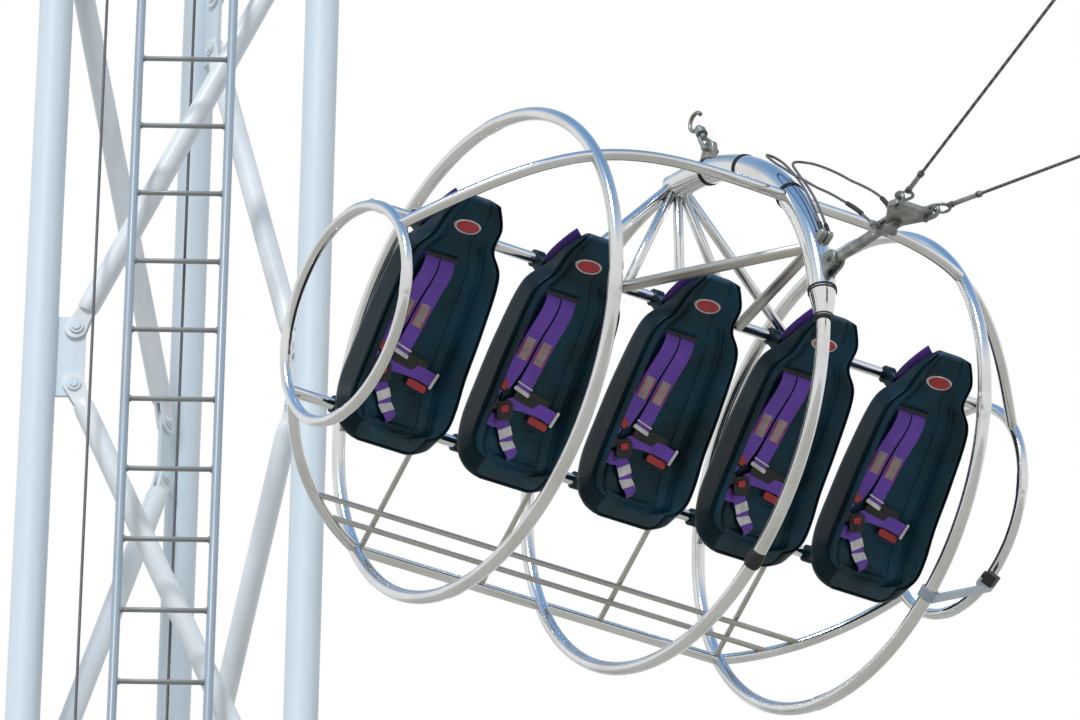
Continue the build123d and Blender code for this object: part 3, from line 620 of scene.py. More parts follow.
class Stock:
    """Collects simple solids, then joins them into one mesh."""

    def __init__(self) -> None:
        """Starts with nothing in it."""
        self.verts: list[np.ndarray] = []
        self.faces: list[list[int]] = []
        self.flat: list[bool] = []
        self.count = 0

    def add(self, verts: np.ndarray, faces: list[list[int]], flat: bool = False) -> None:
        """Adds one solid's points and faces.

        Args:
            verts: its points.
            faces: its faces as lists of its own point numbers.
            flat: shades it flat.
        """
        self.verts.append(np.asarray(verts, float))
        self.faces += [[i + self.count for i in f] for f in faces]
        self.flat += [flat] * len(faces)
        self.count += len(verts)

    def tube(self, path: Sequence[Point], radius: "float | Sequence[float]", sides: int = 20,
             closed: bool = False) -> None:
        """Adds a round tube along a path, with flat ends unless it is closed.

        Args:
            path: points of its middle line.
            radius: its radius, or one for each point.
            sides: how many flats go round it.
            closed: joins its end to its start.
        """
        pts = np.asarray(path, float)
        n = len(pts)
        radii = np.broadcast_to(np.asarray(radius, float), (n,))
        after = np.roll(pts, -1, 0) - pts
        before = pts - np.roll(pts, 1, 0)
        if not closed:
            after[-1], before[0] = before[-1], after[0]
        tangent = after / np.linalg.norm(after, axis=1)[:, None]
        tangent += before / np.linalg.norm(before, axis=1)[:, None]
        tangent /= np.linalg.norm(tangent, axis=1)[:, None]
        seed = np.array([0.0, 0.0, 1.0]) if abs(tangent[0][2]) < 0.9 else np.array([1.0, 0.0, 0.0])
        normal = np.cross(tangent[0], seed)
        rings = []
        angle = np.linspace(0, 2 * math.pi, sides, endpoint=False)
        for k in range(n):
            normal = normal - tangent[k] * normal.dot(tangent[k])
            normal /= np.linalg.norm(normal)
            other = np.cross(tangent[k], normal)
            ring = np.outer(np.cos(angle), normal) + np.outer(np.sin(angle), other)
            rings.append(pts[k] + radii[k] * ring)
        faces = []
        for k in range(n if closed else n - 1):
            a, b = k * sides, (k + 1) % n * sides
            # The last ring of a closed tube may have turned against the first.
            shift = 0
            if k == n - 1:
                shift = int(np.argmin(np.linalg.norm(rings[0] - rings[-1][0], axis=1)))
            for j in range(sides):
                i = (j + 1) % sides
                faces.append([a + j, a + i, b + (i + shift) % sides, b + (j + shift) % sides])
        self.add(np.concatenate(rings), faces)
        if not closed:
            self.add(rings[0], [list(range(sides))[::-1]], flat=True)
            self.add(rings[-1], [list(range(sides))], flat=True)

    def bar(self, start: Point, end: Point, radius: float, sides: int = 20) -> None:
        """Adds a straight round bar with slightly eased ends.

        Args:
            start: middle of one end.
            end: middle of the other end.
            radius: its radius.
            sides: how many flats go round it.
        """
        a, b = np.asarray(start, float), np.asarray(end, float)
        run = np.linalg.norm(b - a)
        ease = min(radius * 0.12, run * 0.1)
        way = (b - a) / run
        self.tube([a, a + way * ease, b - way * ease, b],
                  [radius - ease, radius, radius, radius - ease], sides)

    def plate(self, outline: Sequence[Point], origin: Point, x_dir: Point, y_dir: Point,
              thick: float, ease: float = 0.0015) -> None:
        """Adds a flat plate of any convex or simple outline, centred on its plane, edges eased.

        Args:
            outline: corners in the plate's own plane.
            origin: where the outline's origin lies.
            x_dir: direction of the outline's x.
            y_dir: direction of the outline's y.
            thick: thickness of the plate.
            ease: width of the eased edge.
        """
        flat = np.asarray(outline, float)
        centre = flat.mean(0)
        ux, uy = np.asarray(x_dir, float), np.asarray(y_dir, float)
        ux, uy = ux / np.linalg.norm(ux), uy / np.linalg.norm(uy)
        up = np.cross(ux, uy)
        size = np.linalg.norm(flat - centre, axis=1, keepdims=True)
        inner = centre + (flat - centre) * (1 - ease / np.maximum(size, 1e-6))
        rows = ((inner, -thick / 2), (flat, -thick / 2 + ease), (flat, thick / 2 - ease),
                (inner, thick / 2))
        verts = [np.asarray(origin, float) + p[0] * ux + p[1] * uy + up * h
                 for row, h in rows for p in row]
        self.add(np.array(verts), skin(len(rows), len(flat)), flat=True)

    def build(self, name: str, finish: bpy.types.Material) -> bpy.types.Object:
        """Joins everything into one object.

        Args:
            name: the piece's name.
            finish: its material.

        Returns:
            The object.
        """
        made = mesh_object(name, np.concatenate(self.verts), self.faces, finish)
        made.data.polygons.foreach_set("use_smooth", [not f for f in self.flat])
        made.data.update()
        return made


def settle(piece: bpy.types.Object, body: Body, slot: Slot, *nodes: str) -> bpy.types.Object:
    """Rides a piece on its body and hides the nodes that it stands for.

    Args:
        piece: the piece.
        body: the body that carries it.
        slot: its material slot; not used.
        nodes: names of the solids that it stands for.

    Returns:
        The same piece.
    """
    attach(piece, body.value)
    if nodes:
        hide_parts(*nodes)
    log.info("%s rides on %s, %d faces", piece.name, body.value, len(piece.data.polygons))
    return piece


def rounded_outline(width: float, height: float, corner: float, steps: int = 5) -> list[tuple]:
    """Points of a rectangle with round corners, centred on the origin.

    Args:
        width: its width.
        height: its height.
        corner: radius of the corners.
        steps: how many flats each corner has.

    Returns:
        The points, anticlockwise.
    """
    points = []
    for sx, sy, start in ((1, 1, 0), (-1, 1, 90), (-1, -1, 180), (1, -1, 270)):
        for k in range(steps + 1):
            a = math.radians(start + 90 * k / steps)
            points.append((sx * (width / 2 - corner) + corner * math.cos(a),
                           sy * (height / 2 - corner) + corner * math.sin(a)))
    return points


# Gondola


@dataclass(frozen=True)
class GondolaFrame:
    """The gondola's own axes: x forward, y along the row, z up, pitched nose down."""

    centre: tuple[float, float, float] = (3.480, 0.0, 15.400)
    pitch_deg: float = 58.5

    def way(self, x: float, y: float, z: float) -> np.ndarray:
        """Direction in the ride's frame."""
        a = math.radians(self.pitch_deg)
        return np.array([x * math.cos(a) + z * math.sin(a), y, z * math.cos(a) - x * math.sin(a)])

    def at(self, x: float, y: float, z: float) -> np.ndarray:
        """Point in the ride's frame."""
        return np.array(self.centre) + self.way(x, y, z)

    def ring(self, radius: float, y: float, start: float, end: float, steps: int,
             x: float = 0.0, z: float = 0.0) -> list[np.ndarray]:
        """Points along a hoop from one angle to another; angle 0 is up and 90 is forward.

        Args:
            radius: radius of the hoop.
            y: its place along the row.
            start: first angle, in degrees.
            end: last angle, in degrees; a full turn leaves the last point out.
            steps: how many points to give back.
            x: how far the hoop's middle lies forward.
            z: how far the hoop's middle lies up.

        Returns:
            The points in order.
        """
        closed = abs(end - start) >= 360
        angles = np.radians(np.linspace(start, end, steps, endpoint=not closed))
        return [self.at(x + radius * math.sin(a), y, z + radius * math.cos(a)) for a in angles]


@dataclass
class Hoops:
    """The five hoops, their sleeve joints and the thick arch that takes the pull."""

    gondola: GondolaFrame
    palette: Palette
    radius: float = 0.915
    tube: float = 0.0254
    side_y: float = 0.818
    end_radius: float = 0.405
    end_tube: float = 0.0212
    end_y: float = 1.375
    sides: int = 28
    joint_degs: tuple = (38.0, 128.0, 218.0, 308.0)
    joint_half: float = 0.05
    joint_swell: tuple = (1.0, 1.05, 1.07, 1.07, 1.07, 1.07, 1.07, 1.05, 1.0)
    centre_radius: float = 0.957
    centre_x: float = 0.085
    centre_z: float = 0.047
    arch_tube: float = 0.0508
    arch_rear: float = -57.5
    arch_front: float = 25.0
    arch_sides: int = 36
    cap_deg: float = 1.2
    cap_swell: tuple = (0.93, 1.05, 1.05, 0.99)
    reducer_end: float = 31.2
    reducer_rise: float = 0.008
    band_degs: tuple = (-44.1, -29.6, -6.8, 24.6, 31.2)
    band_rings: tuple = (-0.45, 0.25)
    band_width_deg: float = 0.32
    thick_band_rise: float = 0.003
    thin_band_rise: float = 0.011
    wrap_deg: float = 87.6
    wrap_half_deg: float = 2.0
    wrap_swell: tuple = (1.08, 1.22, 1.26, 1.24, 1.28, 1.24, 1.27, 1.2, 1.06)

    def centre_line(self, start: float, end: float, steps: int) -> list[np.ndarray]:
        """Points along the middle hoop, which the thick arch shares with its thin lower part.

        Args:
            start: first angle, in degrees.
            end: last angle, in degrees.
            steps: how many points to give back.

        Returns:
            The points in order.
        """
        return self.gondola.ring(self.centre_radius, 0, start, end, steps, self.centre_x,
                                 self.centre_z)

    def over_centre(self, angle: float, rise: float = 0.0) -> np.ndarray:
        """Point at an angle of the middle hoop, so far outside its middle line."""
        a, radius = math.radians(angle), self.centre_radius + rise
        return self.gondola.at(self.centre_x + radius * math.sin(a), 0,
                               self.centre_z + radius * math.cos(a))

    def hoop(self, name: str, y: float, radius: float, tube: float) -> None:
        """Makes one round hoop with its sleeved joints.

        Args:
            name: the solid that it stands for.
            y: its place along the row.
            radius: radius of its middle line.
            tube: radius of its tube.
        """
        stock = Stock()
        stock.tube(self.gondola.ring(radius, y, 0, 360, 200), tube, self.sides, closed=True)
        span = math.degrees(self.joint_half / radius)
        for angle in self.joint_degs:
            sleeve = self.gondola.ring(radius, y, angle - span, angle + span, len(self.joint_swell))
            stock.tube(sleeve, [tube * k for k in self.joint_swell], self.sides)
        settle(stock.build(name + "_tube", self.palette.tube), Body.GONDOLA, Slot.STEEL, name)

    def arch(self) -> None:
        """Makes the thick arch, its bands, the reducer and the thin lower part."""
        big, small = self.arch_tube, self.tube
        thick, thin, bands = Stock(), Stock(), Stock()
        thick.tube(self.centre_line(self.arch_rear, self.arch_front, 90), big, self.arch_sides)
        thick.tube(self.centre_line(self.arch_front, self.reducer_end, 10),
                   np.linspace(big, small + self.reducer_rise, 10), self.arch_sides)
        thick.tube(self.centre_line(self.arch_rear - self.cap_deg, self.arch_rear,
                                    len(self.cap_swell)),
                   [big * k for k in self.cap_swell], self.arch_sides)
        thin.tube(self.centre_line(self.reducer_end, 360 + self.arch_rear, 170), small, self.sides)
        for angle in self.band_degs:
            thick_part = angle < self.arch_front
            size = big + self.thick_band_rise if thick_part else small + self.thin_band_rise
            for start in self.band_rings:
                ring = self.centre_line(angle + start, angle + start + self.band_width_deg, 3)
                bands.tube(ring, size, self.arch_sides)
        bands.tube(self.centre_line(self.wrap_deg - self.wrap_half_deg,
                                    self.wrap_deg + self.wrap_half_deg, len(self.wrap_swell)),
                   [small * k for k in self.wrap_swell], self.sides)
        settle(thick.build("centre_arch_tube", self.palette.tube), Body.GONDOLA, Slot.STEEL,
               "centre_arch")
        settle(thin.build("centre_lower_hoop_tube", self.palette.tube), Body.GONDOLA, Slot.STEEL,
               "centre_lower_hoop")
        settle(bands.build("arch_bands", self.palette.rubber), Body.GONDOLA, Slot.STEEL)

    def build(self) -> None:
        """Makes all the hoops."""
        self.hoop("left_hoop", -self.side_y, self.radius, self.tube)
        self.hoop("right_hoop", self.side_y, self.radius, self.tube)
        self.hoop("left_end_hoop", -self.end_y, self.end_radius, self.end_tube)
        self.hoop("right_end_hoop", self.end_y, self.end_radius, self.end_tube)
        self.arch()


@dataclass
class Rails:
    """Keel rails, seat rails, struts and footrest of the gondola."""

    gondola: GondolaFrame
    palette: Palette
    hoops: Hoops
    keel_tube: float = 0.0212
    strut_tube: float = 0.019
    foot_tube: float = 0.01065
    keel_bend: tuple = (1.120, 0.725)
    upper: tuple = (-0.262, 0.320)
    lower: tuple = (-0.062, -0.400)
    rear_deg: float = -138.0
    apex_deg: float = -57.0
    apex_rise: float = 0.022
    fan_step: float = 0.250
    collar_share: float = 0.04
    collar_swell: float = 1.12
    brace_y: float = 0.265
    brace_deg: float = 12.0
    foot_cross: tuple = (-0.800, -0.267, 0.267, 0.800)
    foot_ends: tuple = (1.100, 1.000)

    def bend(self) -> tuple[float, float, float]:
        """Centre and radius of the keel rail's curved end, in the row's own plane.

        Returns:
            Centre along the row, centre height and radius.
        """
        h = self.hoops
        pts = np.array([(h.side_y, -h.radius), (self.keel_bend[0], -self.keel_bend[1]),
                        (h.end_y, -h.end_radius)])
        squares = (pts ** 2).sum(1)
        cy, cz = np.linalg.solve(2 * (pts[1:] - pts[0]), squares[1:] - squares[0])
        return cy, cz, math.hypot(pts[0][0] - cy, pts[0][1] - cz)

    def keel(self) -> None:
        """Makes the top and bottom rails."""
        g, h = self.gondola, self.hoops
        knots = np.array([(-h.end_y, h.end_radius), (-h.side_y, h.radius),
                          (0, h.centre_z + h.centre_radius), (h.side_y, h.radius),
                          (h.end_y, h.end_radius)])
        top = Stock()
        top.tube([g.at(0, y, z) for y, z in natural_curve(knots, 90)], self.keel_tube, 26)
        settle(top.build("top_rail_tube", self.palette.tube), Body.GONDOLA, Slot.STEEL, "top_rail")
        cy, cz, radius = self.bend()
        bottom = Stock()
        start = math.atan2(-h.radius - cz, h.side_y - cy)
        end = math.atan2(-h.end_radius - cz, h.end_y - cy)
        curve = [(cy + radius * math.cos(a), cz + radius * math.sin(a))
                 for a in np.linspace(start, end, 26)]
        path = [(-y, z) for y, z in reversed(curve)] + curve
        bottom.tube([g.at(0, y, z) for y, z in path], self.keel_tube, 26)
        settle(bottom.build("bottom_rail_tube", self.palette.tube), Body.GONDOLA, Slot.STEEL,
               "bottom_rail")

    def seat_rails(self) -> None:
        """Makes the two seat rails and the rear rail."""
        g, h = self.gondola, self.hoops
        rails = Stock()
        for x, z in (self.upper, self.lower):
            rails.bar(g.at(x, -h.end_y, z), g.at(x, h.end_y, z), self.keel_tube, 26)
        settle(rails.build("seat_rail_tubes", self.palette.tube), Body.GONDOLA, Slot.STEEL,
               "seat_rails")
        rear = Stock()
        a = math.radians(self.rear_deg)
        x, z = h.radius * math.sin(a), h.radius * math.cos(a)
        rear.bar(g.at(x, -h.side_y, z), g.at(x, h.side_y, z), self.strut_tube, 24)
        settle(rear.build("rear_rail_tube", self.palette.tube), Body.GONDOLA, Slot.STEEL,
               "rear_rail")

    def struts(self) -> None:
        """Makes the fan behind the seats and the two braces to the arch."""
        apex = self.hoops.over_centre(self.apex_deg, self.apex_rise)
        front = self.hoops.over_centre(self.brace_deg)
        fan, braces = Stock(), Stock()
        for k in (-2, -1, 0, 1, 2):
            foot = self.gondola.at(self.upper[0], k * self.fan_step, self.upper[1])
            collar = foot + (apex - foot) * self.collar_share
            fan.bar(apex, foot, self.strut_tube, 22)
            fan.bar(foot, collar, self.strut_tube * self.collar_swell, 22)
        for side in (-1, 1):
            foot = self.gondola.at(self.upper[0], side * self.brace_y, self.upper[1])
            braces.bar(foot, front, self.keel_tube, 24)
        settle(fan.build("arch_strut_tubes", self.palette.tube), Body.GONDOLA, Slot.STEEL,
               "arch_struts")
        settle(braces.build("arch_brace_tubes", self.palette.satin), Body.GONDOLA, Slot.STEEL)

    def footrest(self) -> None:
        """Makes the thin bars that the feet rest on."""
        g, h = self.gondola, self.hoops
        cy, cz, radius = self.bend()
        rest = Stock()
        for y in self.foot_ends:
            z = cz - math.sqrt(radius ** 2 - (y - cy) ** 2)
            rest.bar(g.at(0, -y, z), g.at(0, y, z), self.foot_tube, 16)
        for y in self.foot_cross:
            rest.bar(g.at(0, y, -h.radius), g.at(self.lower[0], y, self.lower[1]),
                     self.foot_tube, 16)
        settle(rest.build("foot_rest_bars", self.palette.satin), Body.GONDOLA, Slot.STEEL,
               "foot_rest")

    def build(self) -> None:
        """Makes all the rails."""
        self.keel()
        self.seat_rails()
        self.struts()
        self.footrest()


def natural_curve(knots: np.ndarray, steps: int) -> np.ndarray:
    """Cubic through points with free ends, by chord length.

    Args:
        knots: the points, one a row.
        steps: how many points to give back.

    Returns:
        Points along the curve.
    """
    t = np.concatenate([[0], np.cumsum(np.linalg.norm(np.diff(knots, axis=0), axis=1))])
    n = len(t)
    system, right = np.eye(n), np.zeros((n, knots.shape[1]))
    gap = np.diff(t)
    for i in range(1, n - 1):
        system[i, i - 1:i + 2] = gap[i - 1], 2 * (gap[i - 1] + gap[i]), gap[i]
        right[i] = 6 * ((knots[i + 1] - knots[i]) / gap[i] - (knots[i] - knots[i - 1]) / gap[i - 1])
    second = np.linalg.solve(system, right)
    places = np.linspace(0, t[-1], steps)
    out = []
    for s in places:
        i = min(int(np.searchsorted(t, s, side="right")) - 1, n - 2)
        a, b = (t[i + 1] - s) / gap[i], (s - t[i]) / gap[i]
        out.append(a * knots[i] + b * knots[i + 1] + ((a ** 3 - a) * second[i]
                   + (b ** 3 - b) * second[i + 1]) * gap[i] ** 2 / 6)
    return np.array(out)


# Seats


@dataclass
class SeatLine:
    """The curve that every seat follows, from the top of its head to the front of its pan.

    Each station gives the middle's x and z, the recline in degrees, the half width and the
    bolster's height. A place along the line counts the stations from 0 at the top.
    """

    gondola: GondolaFrame
    wall: float = 0.009
    depth: float = 0.075
    gap: float = 0.0008
    bevel: float = 0.030
    crest: float = 0.046
    crest_top: float = 0.3
    crest_full: float = 2.8
    crest_steps: tuple = ((2.1, 0.0, 0.0), (1.5, 0.18, 0.0), (1.0, 0.7, 0.0), (0.45, 1.0, 0.008))
    stations: tuple = (
        (-0.118, 0.545, 8, 0.080, 0.012),
        (-0.108, 0.470, 8, 0.122, 0.024),
        (-0.114, 0.374, 12, 0.136, 0.040),
        (-0.102, 0.282, 17, 0.192, 0.066),
        (-0.045, 0.080, 18, 0.208, 0.084),
        (0.014, -0.096, 21, 0.212, 0.090),
        (0.072, -0.222, 38, 0.218, 0.090),
        (0.142, -0.293, 61, 0.212, 0.062),
        (0.194, -0.315, 76, 0.178, 0.022),
    )
    nose: float = 0.20
    thin_top: float = 0.45
    thin_until: float = 2.0

    def values(self, t: float) -> np.ndarray:
        """Middle x and z, recline, half width and bolster height at a place along the line.

        Args:
            t: place along the line.

        Returns:
            The five values of a station, smoothly joined.
        """
        knots, last = np.array(self.stations, float), len(self.stations) - 1
        i = min(int(t), last - 1)
        s = t - i
        ends = [knots[max(i - 1, 0)], knots[i], knots[i + 1], knots[min(i + 2, last)]]
        rise = [(ends[2] - ends[0]) / 2, (ends[3] - ends[1]) / 2]
        found = ((2 * s ** 3 - 3 * s ** 2 + 1) * ends[1] + (s ** 3 - 2 * s ** 2 + s) * rise[0]
                 + (3 * s ** 2 - 2 * s ** 3) * ends[2] + (s ** 3 - s ** 2) * rise[1])
        found[3] *= 1 - self.nose * max(0.0, t - last + 1) ** 4
        return found

    def depth_at(self, t: float) -> float:
        """Depth of the shell behind the middle surface; it thins out behind the head."""
        return self.depth * (self.thin_top + (1 - self.thin_top) * min(t / self.thin_until, 1.0))

    def point(self, t: float, u: float, v: float, y: float) -> np.ndarray:
        """Point of a seat.

        Args:
            t: place along the line.
            u: how far across the seat, towards the left of the row.
            v: how far from the seat's middle surface towards the sitter.
            y: middle of the seat along the row.

        Returns:
            The point in the ride's frame.
        """
        x, z, lean = self.values(t)[:3]
        a = math.radians(lean)
        return self.gondola.at(x + v * math.cos(a), y - u, z + v * math.sin(a))

    def normal(self, t: float) -> np.ndarray:
        """Direction from the seat towards the sitter."""
        a = math.radians(self.values(t)[2])
        return self.gondola.way(math.cos(a), 0, math.sin(a))

    def down(self, t: float) -> np.ndarray:
        """Direction down the back and forward along the pan."""
        a = math.radians(self.values(t)[2])
        return self.gondola.way(math.sin(a), 0, -math.cos(a))

    def front(self, t: float) -> list[tuple[float, float]]:
        """Corners of the pad's front, from its middle to its back edge.

        Args:
            t: place along the line.

        Returns:
            The corners, as distances across the seat and from its middle surface.
        """
        half, bolster = self.values(t)[3:]
        depth = self.depth_at(t)
        edge = half - self.wall - self.gap
        c = self.crest * (self.crest_top + (1 - self.crest_top) * min(t / self.crest_full, 1.0))
        crest = [(edge - c * back, bolster * share + over)
                 for back, share, over in self.crest_steps]
        return [(0.0, 0.0), *crest, (edge, bolster),
                (edge, self.bevel - depth + self.wall / 3 + self.gap),
                (half - self.bevel - self.wall / 3 - self.gap, self.wall + self.gap - depth)]


def rounded(points: Sequence[Point], count: int, soft: float) -> tuple[np.ndarray, np.ndarray]:
    """Runs a polyline through a soft filter, so its corners come out round.

    Args:
        points: its corners.
        count: how many points to give back.
        soft: reach of the filter, in metres.

    Returns:
        The points and how far along the line each lies.
    """
    pts, samples, reach = np.asarray(points, float), 500, 60
    run = np.concatenate([[0], np.cumsum(np.linalg.norm(np.diff(pts, axis=0), axis=1))])
    fine = np.linspace(-3 * soft, run[-1] + 3 * soft, samples)
    held = np.clip(fine, 0, run[-1])
    mirror = np.where(fine < 0, -1.0, 1.0)
    line = np.stack([np.interp(np.abs(fine), run, pts[:, 0]) * mirror,
                     np.interp(np.where(fine < 0, -fine, held), run, pts[:, 1])], 1)
    kernel = np.exp(-0.5 * (np.arange(-reach, reach + 1) * (fine[1] - fine[0]) / soft) ** 2)
    kernel /= kernel.sum()
    padded = np.pad(line, ((reach, reach), (0, 0)), mode="edge")
    line = np.stack([np.convolve(padded[:, k], kernel, "valid") for k in (0, 1)], 1)
    along = np.linspace(0, run[-1], count)
    return np.stack([np.interp(along, fine, line[:, k]) for k in (0, 1)], 1), along


@dataclass
class Seats:
    """Five bucket seats: glass-fibre shells, upholstered pads, badges and rail clamps."""

    line: SeatLine
    palette: Palette
    rails: Rails
    pitch: float = 0.530
    count: int = 5
    rows: int = 190
    columns: int = 84
    shell_rows: int = 70
    shell_columns: int = 22
    pad_soft: float = 0.009
    outer_soft: float = 0.008
    inner_soft: float = 0.007
    rim_rise: float = 0.004
    seams: tuple = ((2.90, 1.0), (3.85, 0.35), (4.45, 0.35), (5.75, 0.6), (6.90, 1.0))
    seam_depth: float = 0.0045
    seam_half: float = 0.022
    seam_pull: float = 0.16
    piping: float = 0.0035
    rib_place: float = 0.052
    rib_half: float = 0.003
    rib_share: float = 0.5
    crown: float = 0.006
    panel_edge: float = 0.004
    top_end: tuple = (0.28, 0.35)
    front_end: tuple = (0.16, 0.75)
    end_width: float = 0.55
    end_sink: float = 0.03
    badge_t: float = 1.42
    badge_size: tuple = (0.056, 0.031)
    badge_rings: tuple = ((1.0, -0.004), (1.0, 0.0016), (0.84, 0.0022), (0.80, 0.0030),
                          (0.62, 0.0034), (0.42, 0.0036), (0.20, 0.0036))
    clamp_y: float = 0.110
    clamp_width: float = 0.040
    clamp_round: float = 1.55
    clamp_neck: float = 1.25
    clamp_open_deg: float = 50.0

    def places(self) -> list[float]:
        """Middle of each seat along the row."""
        return [(k - (self.count - 1) / 2) * self.pitch for k in range(self.count)]

    def section(self, t: float, top: float) -> np.ndarray:
        """One closed section of the pad, as u and v.

        Args:
            t: place along the seat line.
            top: share of the width and depth that is left where the ends round off.

        Returns:
            Its points, one a row.
        """
        corners = self.line.front(t)
        half_line, along = rounded(corners, self.columns, self.pad_soft)
        panel = corners[1][0] + self.panel_edge
        u, v = half_line[:, 0].copy(), half_line[:, 1].copy()
        across = np.clip(1 - (u / panel) ** 2, 0, 1)
        dips = sum(share * math.exp(-((t - s) / self.seam_half) ** 2) for s, share in self.seams)
        sink = max(share * math.exp(-((t - s) / self.seam_pull) ** 2) for s, share in self.seams)
        v += self.crown * across ** 0.5 * (1 - sink)
        v -= self.seam_depth * dips * (across > 0)
        v -= self.seam_depth * np.exp(-((along - panel) / self.piping) ** 2)
        rib = panel + self.rib_place
        v -= self.rib_share * self.seam_depth * np.exp(-((along - rib) / self.rib_half) ** 2)
        u *= self.end_width + (1 - self.end_width) * top
        v = v * top - (1 - top) * self.end_sink
        right = np.stack([u, v], 1)
        left = right[::-1][:-1] * (-1, 1)
        return np.concatenate([left, right])

    def surface(self, t: float, u: float) -> float:
        """Height of the pad's front at a place, u across from its middle."""
        front = self.section(t, 1.0)[self.columns - 1:][:self.columns // 3]
        return float(np.interp(abs(u), front[:, 0], front[:, 1]))

    def pad(self, name: str, y: float) -> bpy.types.Object:
        """Makes one upholstered pad.

        Args:
            name: the piece's name.
            y: middle of the seat along the row.

        Returns:
            The pad.
        """
        last = len(self.line.stations) - 1
        rings = []
        for t in np.linspace(0.0, last, self.rows):
            at_top = t < last / 2
            edge, (ease, least) = (t, self.top_end) if at_top else (last - t, self.front_end)
            top = math.sqrt(max(1 - (1 - min(edge / ease, 1.0)) ** 2, 0.0))
            rings.append([self.line.point(t, u, v, y)
                          for u, v in self.section(t, least + (1 - least) * top)])
        return mesh_object(name, np.concatenate(rings), skin(self.rows, len(rings[0])),
                           self.palette.vinyl)

    def shell_section(self, t: float) -> np.ndarray:
        """One closed section of the shell's wall, as u and v.

        Args:
            t: place along the seat line.

        Returns:
            Its points, one a row.
        """
        line = self.line
        half, bolster = line.values(t)[3:]
        wall, depth, bevel = line.wall, line.depth_at(t), line.bevel
        outer = [(0.0, -depth), (half - bevel, -depth), (half, bevel - depth), (half, bolster)]
        inner = [(0.0, wall - depth), (half - bevel - wall / 3, wall - depth),
                 (half - wall, bevel - depth + wall / 3), (half - wall, bolster)]
        out_line, _ = rounded(outer, self.shell_columns, self.outer_soft)
        in_line, _ = rounded(inner, self.shell_columns, self.inner_soft)
        rim = [(half - wall / 2, bolster + self.rim_rise)]
        loop = np.concatenate([out_line, rim, in_line[::-1]])
        return np.concatenate([loop, loop[::-1][1:-1] * (-1, 1)])

    def clamps(self, stock: Stock, y: float) -> None:
        """Adds the four clamps that hold one shell on the seat rails.

        Args:
            stock: where they are collected.
            y: middle of the seat along the row.
        """
        line, rail = self.line, self.rails.keel_tube
        opening = math.radians(self.clamp_open_deg)
        for (x, z), low in ((self.rails.upper, 2), (self.rails.lower, 6)):
            first, second = (np.array(line.stations[k][:2]) for k in (low, low + 1))
            way = np.array([first[1] - second[1], second[0] - first[0]])
            way = way / np.linalg.norm(way)
            reach = float((first - (x, z)) @ way) - line.depth + line.wall / 2
            size, neck = rail * self.clamp_round, rail * self.clamp_neck
            outline = [(size * math.cos(a), size * math.sin(a))
                       for a in np.linspace(opening, 2 * math.pi - opening, 20)]
            outline += [(reach, -neck), (reach, neck)]
            for side in (-1, 1):
                stock.plate(outline, line.gondola.at(x, y + side * self.clamp_y, z),
                            line.gondola.way(way[0], 0, way[1]),
                            line.gondola.way(-way[1], 0, way[0]), self.clamp_width)

    def shell(self, name: str, y: float) -> bpy.types.Object:
        """Makes one shell with its rail clamps.

        Args:
            name: the piece's name.
            y: middle of the seat along the row.

        Returns:
            The shell.
        """
        stock = Stock()
        rings = [[self.line.point(t, u, v, y) for u, v in self.shell_section(t)]
                 for t in np.linspace(0, len(self.line.stations) - 1, self.shell_rows)]
        stock.add(np.concatenate(rings), skin(len(rings), len(rings[0])))
        self.clamps(stock, y)
        return stock.build(name, self.palette.shell)

    def badge(self, name: str, y: float) -> bpy.types.Object:
        """Makes the plain oval badge that follows the head of one seat, with its pale rim.

        Args:
            name: the piece's name.
            y: middle of the seat along the row.

        Returns:
            The badge.
        """
        line, (wide, tall), sides, step = self.line, self.badge_size, 40, 0.1
        pace = np.linalg.norm(line.point(self.badge_t + step, 0, 0, y)
                              - line.point(self.badge_t, 0, 0, y))
        verts = []
        for share, lift in self.badge_rings:
            for a in np.linspace(0, 2 * math.pi, sides, endpoint=False):
                t = self.badge_t + step * tall * share * math.sin(a) / pace
                u = wide * share * math.cos(a)
                verts.append(line.point(t, u, self.surface(t, u) + lift, y))
        faces = skin(len(self.badge_rings), sides)
        made = mesh_object(name, np.array(verts), faces, self.palette.white)
        made.data.materials.append(self.palette.red)
        back = len(faces) - 2
        for number, polygon in enumerate(made.data.polygons):
            polygon.material_index = int(number >= 2 * sides and number != back)
        return made

    def build(self) -> None:
        """Makes every seat."""
        for k, y in enumerate(self.places(), 1):
            pad = settle(self.pad(f"upholstery_{k}", y), Body.GONDOLA, Slot.VINYL, f"seat_pad_{k}")
            settle(self.shell(f"bucket_{k}", y), Body.GONDOLA, Slot.SHELL, f"seat_shell_{k}")
            settle(self.badge(f"head_badge_{k}", y), Body.GONDOLA, Slot.VINYL)


class Trim(Enum):
    """Kinds of small part on a harness, by the end of their pieces' names."""

    LABEL = "labels"
    PATCH = "patches"
    RED = "red_trim"
    METAL = "buckles"
    BLACK = "black_trim"


@dataclass(frozen=True)
class Fitting:
    """A small rounded plate of a harness.

    Its place is a share of a strap's length, or a place of the seat as in a strap's route.
    """

    trim: Trim
    place: "float | Point"
    size: tuple[float, float, float]
    corner: float = 0.004
    lift: float = 0.0
    turn: float = 0.0


